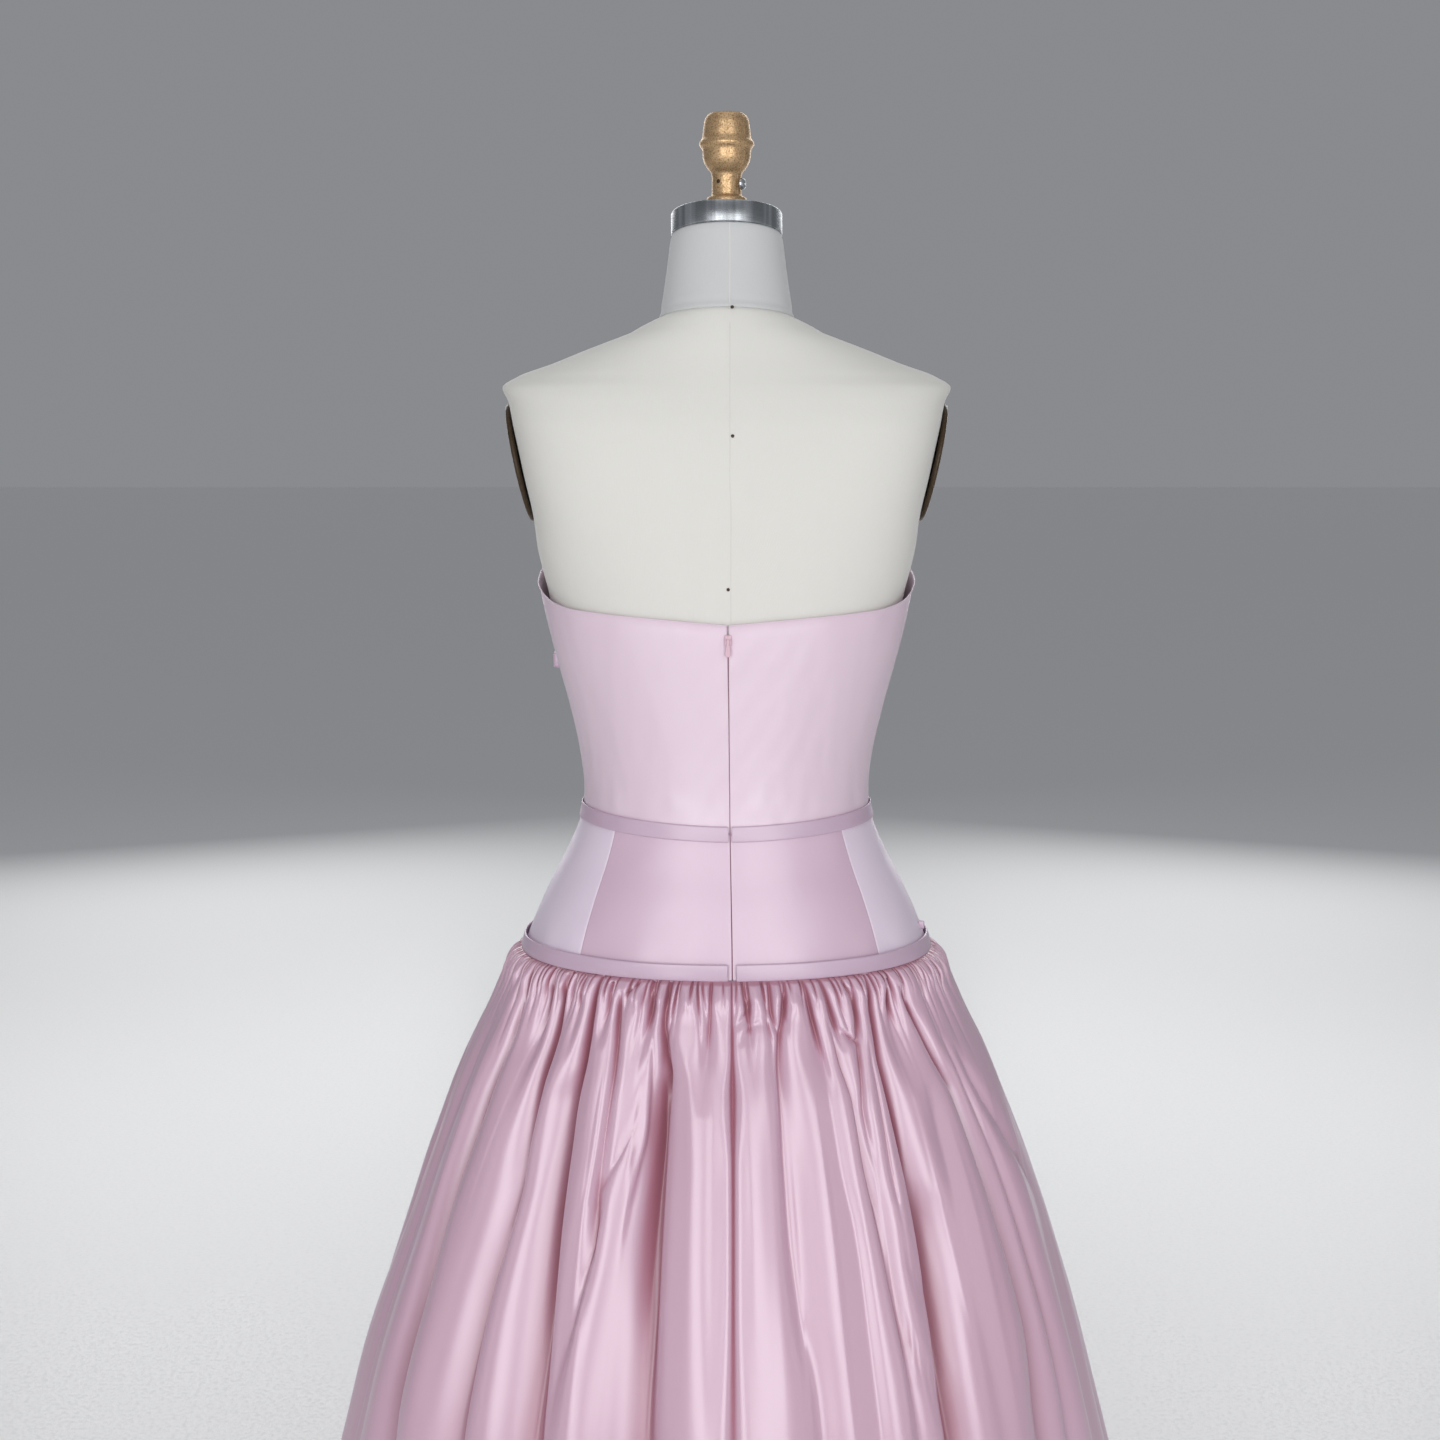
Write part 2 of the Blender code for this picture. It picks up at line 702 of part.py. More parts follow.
def build_bodice_panel(name, start, end):
    turns = turns_between(start, end)
    rows = []
    for level in BODICE_LEVELS:
        row = []
        for i, turn in enumerate(turns):
            low = WAIST_SEAM + SEAM_GAP / 2.0 + waist_rise(turn)
            height = low + (bodice_top(turn) - low) * level
            row.append((turn, height, bodice_outward(turn, height), end_slide(i, len(turns))))
        rows.append(row)
    return body_wall(name, rows, CLOTH_WALL)


def back_princess(height):
    share = (height - YOKE_LOW) / (WAIST_SEAM - YOKE_LOW)
    return BACK_PRINCESS_LOW_TURN + (BACK_PRINCESS_HIGH_TURN - BACK_PRINCESS_LOW_TURN) * share


def build_yoke_panel(name, start, end, cells):
    """A panel between two seams, each given as a function of height."""
    rows = []
    for level in YOKE_LEVELS:
        row = []
        for i in range(cells + 1):
            nominal = YOKE_LOW + (WAIST_SEAM - YOKE_LOW) * level
            turn = start(nominal) + (end(nominal) - start(nominal)) * i / cells
            top = WAIST_SEAM - SEAM_GAP / 2.0 + waist_rise(turn)
            height = YOKE_LOW + (top - YOKE_LOW) * level
            row.append((turn, height, EASE + CLOTH_WALL, end_slide(i, cells + 1)))
        rows.append(row)
    return body_wall(name, rows, CLOTH_WALL)


def band_turns(opening, height):
    """Turns all round a band, short of centre back by half of its opening."""
    radius = smooth_value(FORM_SECTIONS, "half_width", height)
    gap = math.degrees(opening / 2.0 / radius)
    inner = turns_between(0.0, 360.0)[1:-1]
    return [gap] + inner + [360.0 - gap]


def build_waist_band():
    lift = EASE + CLOTH_WALL + BAND_LIFT + BAND_WALL
    rows = []
    for share in (0.0, 0.5, 1.0):
        row = []
        for turn in band_turns(WAIST_BAND_OPENING, WAIST_BAND_LOW):
            height = WAIST_BAND_LOW + waist_rise(turn) + WAIST_BAND_TALL * share
            row.append((turn, height, lift, 0.0))
        rows.append(row)
    return body_wall("waist_band", rows, BAND_WALL)


def build_hip_band():
    """The hip band's top edge rolls off the yoke, and its low part lies on it."""
    lift = EASE + CLOTH_WALL + 2.0 * BAND_LIFT + BAND_WALL
    rows = []
    for share, roll in ((0.0, 0.0), (0.4, 0.1), (1.0, 1.0)):
        height = HIP_BAND_LOW + HIP_BAND_TALL * share
        out = lift + HIP_BAND_ROLL * roll
        turns = band_turns(HIP_BAND_OPENING, HIP_BAND_LOW)
        rows.append([(turn, height, out, 0.0) for turn in turns])
    return body_wall("hip_band", rows, BAND_WALL)


# Skirt

Column = namedtuple("Column", "turn fold_dip gather_dip")


def crest_shape(share, crest, roundness):
    """0 in the valleys at shares 0 and 1, and 1 on the crest between them."""
    half = 0.5 * share / crest if share < crest else 0.5 + 0.5 * (share - crest) / (1.0 - crest)
    return math.sin(math.pi * half) ** roundness


def skirt_columns(folds, start, end, first_valley, steps):
    """The columns of a panel, with how deep each lies in its fold and in its gather."""
    scale = (end - start) / sum(fold.degrees for fold in folds)
    total = sum(fold.gathers for fold in folds)
    depths = [GATHER_RHYTHM[i % len(GATHER_RHYTHM)] for i in range(total)] + [1.0]
    columns = []
    turn, valley, gather = start, first_valley, 0
    for fold in folds:
        width = fold.degrees * scale
        for i in range(fold.gathers * steps):
            share = i / (fold.gathers * steps)
            inside, within = divmod(i, steps)
            within /= steps
            near = valley if share < fold.crest else fold.valley
            fold_dip = near * (1.0 - crest_shape(share, fold.crest, FOLD_ROUNDNESS))
            pucker = depths[gather + inside] if within < 0.5 else depths[gather + inside + 1]
            gather_dip = pucker * (1.0 - crest_shape(within, 0.5, GATHER_ROUNDNESS))
            columns.append(Column(turn + width * share, fold_dip, gather_dip))
        turn += width
        valley = fold.valley
        gather += fold.gathers
    columns.append(Column(turn, valley, 1.0))
    return columns


def skirt_point(column, height, inward=0.0, slide=0.0):
    """A point on the skirt's outside at a height, moved inward from it and along it."""
    half_width = smooth_value(SKIRT_FLARE, "half_width", height)
    depth = half_width - SKIRT_FLATNESS
    dip = column.fold_dip * smooth_value(FOLD_GROWTH, "folds", height)
    dip += column.gather_dip * GATHER_DEPTH * smooth_value(FOLD_GROWTH, "gathers", height)
    turn = column.turn - zip_lean(height)
    x, y = ring_point(half_width, depth, depth, 2.0, turn, -dip - inward, slide)
    return Vector((x, y, height))


def skirt_rows(rings, columns, inward):
    """Rows of points on one face of a skirt panel's wall."""
    rows = []
    for height, steps in rings:
        count = len(columns[steps])
        rows.append([
            skirt_point(column, height, inward, end_slide(i, count))
            for i, column in enumerate(columns[steps])
        ])
    return rows


def build_skirt_panel(name, folds, start, end, first_valley):
    columns = {
        steps: skirt_columns(folds, start, end, first_valley, steps)
        for steps in (LOW_STEPS, HIGH_STEPS)
    }
    rings = [(height, LOW_STEPS) for height in LOW_RINGS]
    rings += [(height, HIGH_STEPS) for height in HIGH_RINGS]
    return cloth_wall(
        name, skirt_rows(rings, columns, 0.0), skirt_rows(rings, columns, SKIRT_WALL)
    )


def build_skirt():
    left, front, right = BACK_LEFT_FOLDS, FRONT_FOLDS, BACK_RIGHT_FOLDS
    build_skirt_panel("skirt_back_left", left, 0.0, SIDE_TURN, right[-1].valley)
    build_skirt_panel("skirt_front", front, SIDE_TURN, 360.0 - SIDE_TURN, left[-1].valley)
    build_skirt_panel("skirt_back_right", right, 360.0 - SIDE_TURN, 360.0, front[-1].valley)


# Zip and small cloth ends


def zip_face(height):
    """The point of the bodice's outside on the centre-back line."""
    return body_point(0.0, height, EASE + CLOTH_WALL)


def box_piece(name, size, look, into=None):
    work = bmesh.new()
    bmesh.ops.create_cube(work, size=1.0, matrix=Matrix.Diagonal((*size, 1.0)))
    return place_mesh(name, work, look, into)


def cutter_box(name, size):
    """A hidden box that another piece's modifier joins on or cuts away."""
    box = box_piece(name, size, None, cutters())
    box.hide_render = True
    box.display_type = "WIRE"
    return box


def build_slider():
    """A flat slider body with two cheeks that hold the pull tab between them."""
    face = zip_face(SLIDER_HEIGHT + SLIDER_TALL / 2.0)
    body_middle = face + Vector((0.0, SEAM_GAP + SLIDER_THICK / 2.0, -SLIDER_TALL / 2.0))
    slider = box_piece("zip_slider", (SLIDER_WIDE, SLIDER_THICK, SLIDER_TALL), ZIP_PINK)
    slider.location = body_middle
    bevelled(slider, SLIDER_BEVEL)
    pivot = pull_pivot()
    reach = SLIDER_THICK / 2.0 + PIVOT_ABOVE_SLIDER + CHEEK_PAST_PIVOT
    for side in (-1.0, 1.0):
        cheek = cutter_box("cheek", (CHEEK_THICK, reach, CHEEK_TALL))
        offset = side * (PULL_NECK_WIDE / 2.0 + SEAM_GAP + CHEEK_THICK / 2.0)
        cheek.location = (pivot.x + offset, body_middle.y + reach / 2.0, pivot.z)
        join = slider.modifiers.new("cheek", "BOOLEAN")
        join.operation = "UNION"
        join.object = cheek
    return slider


def pull_pivot():
    """The axis of the pull tab: it runs along X, just outside the slider's body."""
    face = zip_face(SLIDER_HEIGHT + SLIDER_TALL / 2.0)
    out = SEAM_GAP + SLIDER_THICK + PIVOT_ABOVE_SLIDER
    return Vector((face.x, face.y + out, SLIDER_HEIGHT + PIVOT_ABOVE_MIDDLE))


def build_pull():
    """A teardrop tab, narrow at the slider and round at its tip, hanging from its pivot."""
    half_neck, half_wide = PULL_NECK_WIDE / 2.0, PULL_WIDE / 2.0
    tip_middle = PULL_ABOVE_PIVOT - PULL_LONG + half_wide
    outline = [(half_neck, PULL_ABOVE_PIVOT), (half_neck, -PULL_NECK_LONG)]
    for step in range(TIP_CORNERS):
        angle = math.radians(TIP_START + (TIP_END - TIP_START) * step / (TIP_CORNERS - 1))
        outline.append((half_wide * math.cos(angle), tip_middle + half_wide * math.sin(angle)))
    outline += [(-half_neck, -PULL_NECK_LONG), (-half_neck, PULL_ABOVE_PIVOT)]
    curve = bpy.data.curves.new("zip_pull", "CURVE")
    curve.dimensions = "2D"
    curve.fill_mode = "BOTH"
    curve.extrude = PULL_THICK / 2.0
    line = curve.splines.new("POLY")
    line.points.add(len(outline) - 1)
    for point, (across, along) in zip(line.points, outline):
        point.co = (across, along, 0.0, 1.0)
    line.use_cyclic_u = True
    pull = bpy.data.objects.new("zip_pull", curve)
    collection().objects.link(pull)
    pull.location = pull_pivot()
    pull.rotation_euler = (math.radians(90.0), 0.0, 0.0)
    give_look(pull, ZIP_PINK)
    return pull


def build_end_tab(name, turn, low, tall, long, thick, lift):
    """The flat end of a strip of cloth that lies on a side of the dress."""
    rows = []
    for share in (0.0, 1.0):
        height = low + tall * share
        half_width = smooth_value(FORM_SECTIONS, "half_width", height)
        reach = math.degrees(long / half_width)
        out = lift + thick
        rows.append([(turn + reach * i / 2.0, height, out, 0.0) for i in range(3)])
    return body_wall(name, rows, thick)


def build_tabs():
    on_bodice = bodice_outward(TAB_TURN, TAB_LOW + TAB_TALL) + SEAM_GAP
    build_end_tab("side_tab_left", TAB_TURN, TAB_LOW, TAB_TALL, TAB_LONG, TAB_THICK, on_bodice)
    on_yoke = EASE + CLOTH_WALL + SEAM_GAP
    build_end_tab("hip_tab_right", NUB_TURN, NUB_LOW, NUB_TALL, NUB_LONG, NUB_THICK, on_yoke)


def build_dress():
    right_side, right_princess = 360.0 - SIDE_TURN, 360.0 - FRONT_PRINCESS_TURN
    build_bodice_panel("bodice_back_left", 0.0, SIDE_TURN)
    build_bodice_panel("bodice_side_left", SIDE_TURN, FRONT_PRINCESS_TURN)
    build_bodice_panel("bodice_front", FRONT_PRINCESS_TURN, right_princess)
    build_bodice_panel("bodice_side_right", right_princess, right_side)
    build_bodice_panel("bodice_back_right", right_side, 360.0)
    build_waist_band()

    def at(turn):
        return lambda height: turn

    def right_back_princess(height):
        return 360.0 - back_princess(height)

    build_yoke_panel("yoke_back_left", at(0.0), back_princess, 6)
    build_yoke_panel("yoke_side_left", back_princess, at(FRONT_PRINCESS_TURN), 12)
    build_yoke_panel("yoke_front", at(FRONT_PRINCESS_TURN), at(right_princess), 10)
    build_yoke_panel("yoke_side_right", at(right_princess), right_back_princess, 12)
    build_yoke_panel("yoke_back_right", right_back_princess, at(360.0), 6)
    build_hip_band()
    build_skirt()
    build_slider()
    build_pull()
    build_tabs()


def build_form():
    build_torso()
    build_neck()
    build_cap()
    build_finial()
    build_set_screw()
    build_arm_plate("arm_plate_left", 1.0)
    build_arm_plate("arm_plate_right", -1.0)
    build_stand()


remove_all_objects()
build_form()
build_dress()
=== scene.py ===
"""Looks of a strapless satin evening dress on a limbless dress form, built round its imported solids.

Metres, +Z up. The back of the dress, with the zip, faces +Y, and the wearer's left is +X. A "turn"
is an angle in degrees round the body from centre back: 90 is the wearer's left side, 180 the front.
"""

import math
from collections import namedtuple

import bmesh
import bpy
import numpy as np
from mathutils import Matrix, Vector


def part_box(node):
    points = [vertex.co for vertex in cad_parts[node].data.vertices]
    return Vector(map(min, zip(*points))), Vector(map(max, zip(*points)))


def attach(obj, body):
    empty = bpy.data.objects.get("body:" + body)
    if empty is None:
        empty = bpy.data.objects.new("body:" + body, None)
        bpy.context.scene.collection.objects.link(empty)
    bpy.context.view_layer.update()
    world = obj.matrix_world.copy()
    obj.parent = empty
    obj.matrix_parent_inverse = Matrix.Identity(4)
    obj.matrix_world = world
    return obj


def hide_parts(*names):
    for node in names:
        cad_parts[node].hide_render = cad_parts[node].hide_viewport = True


bl_info = {
    "name": "Evening Dress on a Dress Form",
    "version": (1, 0, 0),
    "blender": (4, 5, 0),
    "location": "View3D > Sidebar > Evening Dress",
    "description": "Builds a strapless satin dress with a gathered skirt on a limbless dress form",
    "category": "Add Mesh",
}

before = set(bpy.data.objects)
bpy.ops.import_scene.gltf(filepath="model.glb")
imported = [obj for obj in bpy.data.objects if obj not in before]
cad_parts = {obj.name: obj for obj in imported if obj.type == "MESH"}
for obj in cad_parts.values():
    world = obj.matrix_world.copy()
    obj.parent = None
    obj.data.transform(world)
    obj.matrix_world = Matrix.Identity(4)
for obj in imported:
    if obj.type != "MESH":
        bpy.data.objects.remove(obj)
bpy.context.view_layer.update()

DRESS_BODY = "dress_on_form"
PULL_BODY = "zip_pull"
CLOTH_MAP = "cloth_metres"
FOLD_MAP = "fold_shade"

# Cloth and clearances. EASE is the air between the form and the cloth, CLOTH_WALL the solids' wall,
# SHELL the thinner wall built here, and PANEL_SINK how far it lies below the solids' outside. The
# radii turn degrees into lengths along a panel or a band, and the tucks go under the bands.
EASE = 0.0010
CLOTH_WALL = 0.0015
SHELL = 0.0009
PANEL_SINK = 0.0002
PANEL_RADIUS = 0.125
BODICE_TUCK = 0.0008
TOP_ROLL = 0.0007
TOP_FOLD = 0.00035
TOP_STITCH_DIP = 0.00025
YOKE_TUCK = 0.0012
SEAM_GAP = 0.0003
PINPOINT = 0.00005
BAND_LIFT = 0.0004
BAND_WALL = 0.0016
BAND_RADIUS = 0.115
TOP_STAND_OFF = 0.0040
TOP_STAND_OFF_REACH = 0.065
TOP_STAND_OFF_POWER = 4
BUST_EASE = 0.0026
BUST_EASE_START = 1.070
BUST_EASE_FULL = 1.120

# Heights of the dress
HEM = 0.013
SKIRT_TOP = 0.9254
HIP_BAND_LOW = 0.9258
HIP_BAND_TALL = 0.0129
YOKE_LOW = 0.9292
WAIST_SEAM = 1.0352
WAIST_BAND_LOW = 1.0290
WAIST_BAND_TALL = 0.0120
WAIST_RISE = 0.0055
WAIST_RISE_POWER = 1.4
HIP_BAND_ROLL = 0.0014
WAIST_BAND_OPENING = 0.0022
HIP_BAND_OPENING = 0.0040

# Side seams and princess seams, in turns
SIDE_TURN = 90.0
FRONT_PRINCESS_TURN = 142.5
BACK_PRINCESS_LOW_TURN = 45.4
BACK_PRINCESS_HIGH_TURN = 48.2

# Bust of the form
BUST_TURN = 146.0
BUST_WIDE = 25.0
BUST_HEIGHT = 1.186
BUST_TALL = 0.056
BUST_SWELL = 0.022

# The form's bottom, neck and cap
FORM_LOW = 0.800
TILT_START = 1.3800
NECK_TILT = math.radians(9.5)
NECK_SEAT = Vector((0.0, 0.012, 1.4285))
NECK_LENGTH = 0.0668
CAP_RADIUS = 0.0435
CAP_TALL = 0.0172

# Finial and its screw
FINIAL_BACK = -0.0022
SCREW_HEIGHT = 1.5335
SCREW_AZIMUTH = math.radians(150.0)
COLLAR_RADIUS = 0.0115

# Arm plates
PLATE_HEIGHT = 1.318
PLATE_BACK = -0.004
PLATE_TALL = 0.046
PLATE_DEEP = 0.040
PLATE_THICK = 0.0040
PLATE_CLEARANCE = 0.0005

# Stand
BASE_RADIUS = 0.210
BASE_THICK = 0.012
BASE_RISE = 0.004
HUB_RADIUS = 0.030
HUB_HEIGHT = 0.045
POLE_RADIUS = 0.0145

# Zip
SLIDER_HEIGHT = 1.1870
SLIDER_WIDE = 0.0050
SLIDER_TALL = 0.0080
SLIDER_THICK = 0.0012
PIVOT_ABOVE_SLIDER = 0.0009
PIVOT_ABOVE_MIDDLE = 0.0004
PULL_LONG = 0.0136
PULL_WIDE = 0.0038
PULL_THICK = 0.0010
PULL_NECK = 0.0011
CHEEK_OUT = 0.00185
CHEEK_UP = 0.00115
CHEEK_SIZE = (0.0009, 0.0016, 0.0022)

Section = namedtuple("Section", "height half_width back front squareness")
FORM_SECTIONS = (
    Section(0.8000, 0.1630, 0.1130, 0.1040, 2.10),
    Section(0.8400, 0.1690, 0.1170, 0.1080, 2.10),
    Section(0.8800, 0.1696, 0.1175, 0.1085, 2.10),
    Section(0.9150, 0.1664, 0.1155, 0.1065, 2.10),
    Section(0.9480, 0.1552, 0.1100, 0.1015, 2.10),
    Section(0.9780, 0.1416, 0.1020, 0.0960, 2.10),
    Section(1.0080, 0.1265, 0.0925, 0.0900, 2.10),
    Section(1.0340, 0.1160, 0.0868, 0.0868, 2.10),
    Section(1.0460, 0.1135, 0.0855, 0.0865, 2.10),
    Section(1.0600, 0.1133, 0.0853, 0.0866, 2.10),
    Section(1.0880, 0.1162, 0.0868, 0.0885, 2.10),
    Section(1.1270, 0.1247, 0.0910, 0.0935, 2.15),
    Section(1.1430, 0.1290, 0.0930, 0.0955, 2.18),
    Section(1.1570, 0.1328, 0.0948, 0.0970, 2.20),
    Section(1.1710, 0.1358, 0.0967, 0.0982, 2.25),
    Section(1.1860, 0.1381, 0.0985, 0.0990, 2.30),
    Section(1.2000, 0.1398, 0.1000, 0.0990, 2.35),
    Section(1.2150, 0.1418, 0.1012, 0.0985, 2.40),
    Section(1.2330, 0.1460, 0.1025, 0.0980, 2.55),
    Section(1.2535, 0.1503, 0.1035, 0.0975, 2.70),
    Section(1.2730, 0.1521, 0.1040, 0.0965, 3.00),
    Section(1.3110, 0.1600, 0.1025, 0.0920, 3.20),
    Section(1.3450, 0.1671, 0.0975, 0.0850, 3.20),
    Section(1.3660, 0.1716, 0.0905, 0.0770, 2.90),
    Section(1.3770, 0.1766, 0.0860, 0.0715, 2.50),
    Section(1.3860, 0.1641, 0.0820, 0.0660, 2.20),
    Section(1.3955, 0.1379, 0.0775, 0.0600, 2.10),
    Section(1.4050, 0.1141, 0.0735, 0.0540, 2.00),
    Section(1.4170, 0.0797, 0.0680, 0.0465, 2.00),
)

NeckSection = namedtuple("NeckSection", "along half_width half_depth")
NECK_SECTIONS = (
    NeckSection(0.0000, 0.0528, 0.0505),
    NeckSection(0.0120, 0.0508, 0.0484),
    NeckSection(0.0300, 0.0481, 0.0458),
    NeckSection(0.0500, 0.0455, 0.0439),
    NeckSection(0.0620, 0.0440, 0.0432),
    NeckSection(0.0668, 0.0425, 0.0422),
)

Edge = namedtuple("Edge", "turn height")
BODICE_TOP = (
    Edge(0.0, 1.1980),
    Edge(15.0, 1.2016),
    Edge(37.0, 1.2050),
    Edge(52.0, 1.2070),
    Edge(63.0, 1.2098),
    Edge(78.0, 1.2176),
    Edge(92.0, 1.2260),
    Edge(115.0, 1.2370),
    Edge(145.0, 1.2460),
    Edge(180.0, 1.2340),
)

Lean = namedtuple("Lean", "height degrees")
# How far the centre-back line stands round from the body's own centre, to the wearer's right.
ZIP_LEAN = (
    Lean(0.013, 0.50),
    Lean(0.650, 0.86),
    Lean(0.860, 1.20),
    Lean(0.940, 1.24),
    Lean(1.050, 1.00),
    Lean(1.198, 0.13),
    Lean(1.300, 0.00),
)

Flare = namedtuple("Flare", "height half_width")
SKIRT_FLARE = (
    Flare(HEM, 0.4680),
    Flare(0.2500, 0.3985),
    Flare(0.4880, 0.3276),
    Flare(0.6140, 0.2905),
    Flare(0.7200, 0.2584),
    Flare(0.7900, 0.2338),
    Flare(0.8420, 0.2136),
    Flare(0.8760, 0.1972),
    Flare(0.8970, 0.1874),
    Flare(0.9170, 0.1775),
    Flare(0.9235, 0.1722),
    Flare(0.9262, 0.1662),
)
SKIRT_FLATNESS = 0.0495
SEAM_HEIGHT = 0.9262

# How far the skirt stands off its flare: by the seam, where the cloth is held flat and then puffs
# out, and lower down, where each swell grows from one height to a lower one, more at the sides
SKIRT_OUT = 0.0012
SEAM_HOLD = 0.0022
# painted shade on the skirt's top rows, in the shadow under the hip band
SEAM_PAINTED_SHADE = 0.7
PUFF_HIGH = 0.0019
PUFF_DOWN = 0.011
PUFF_TALL = 0.009
Swell = namedtuple("Swell", "high sideways start full")
SKIRT_SWELLS = (
    Swell(0.0075, 0.0, 0.90, 0.72),
    Swell(0.0065, 0.0038, 0.74, 0.58),
    Swell(-0.0080, 0.0, 0.45, 0.20),
)

# Creases: the share of the depth in the wide tail, how far a steep lip leans over, the power by
# which creases that cross each other merge, and how much all of them are deepened
CREASE_TAIL = 0.38
LIP_LEAN = 0.42
CREASE_MERGE = 1.7
CREASE_GAIN = 1.40

# How far round each kind of fold is worked out, in degrees
CREASE_REACH = 34.0
SLIT_REACH = 6.0
ROLL_REACH = 12.0

# Short slits between the gathers: least and most of each size
SLIT_COUNT = 190
SLIT_DEEP = (0.0028, 0.0070)
SLIT_WIDE = (0.16, 0.30)
SLIT_SHORTEST = 0.010
SLIT_LONGER = 0.034
SLIT_OPENING = 60.0

# Painted shade in the folds: how many columns away the cloth is looked at, and how dark the painted
# shade gets
SHADE_COLUMNS = (1, 2, 3, 4, 6, 8, 11, 15, 20, 27, 36, 48)
SHADE_SPAN = 0.28
SHADE_MOST = 0.92

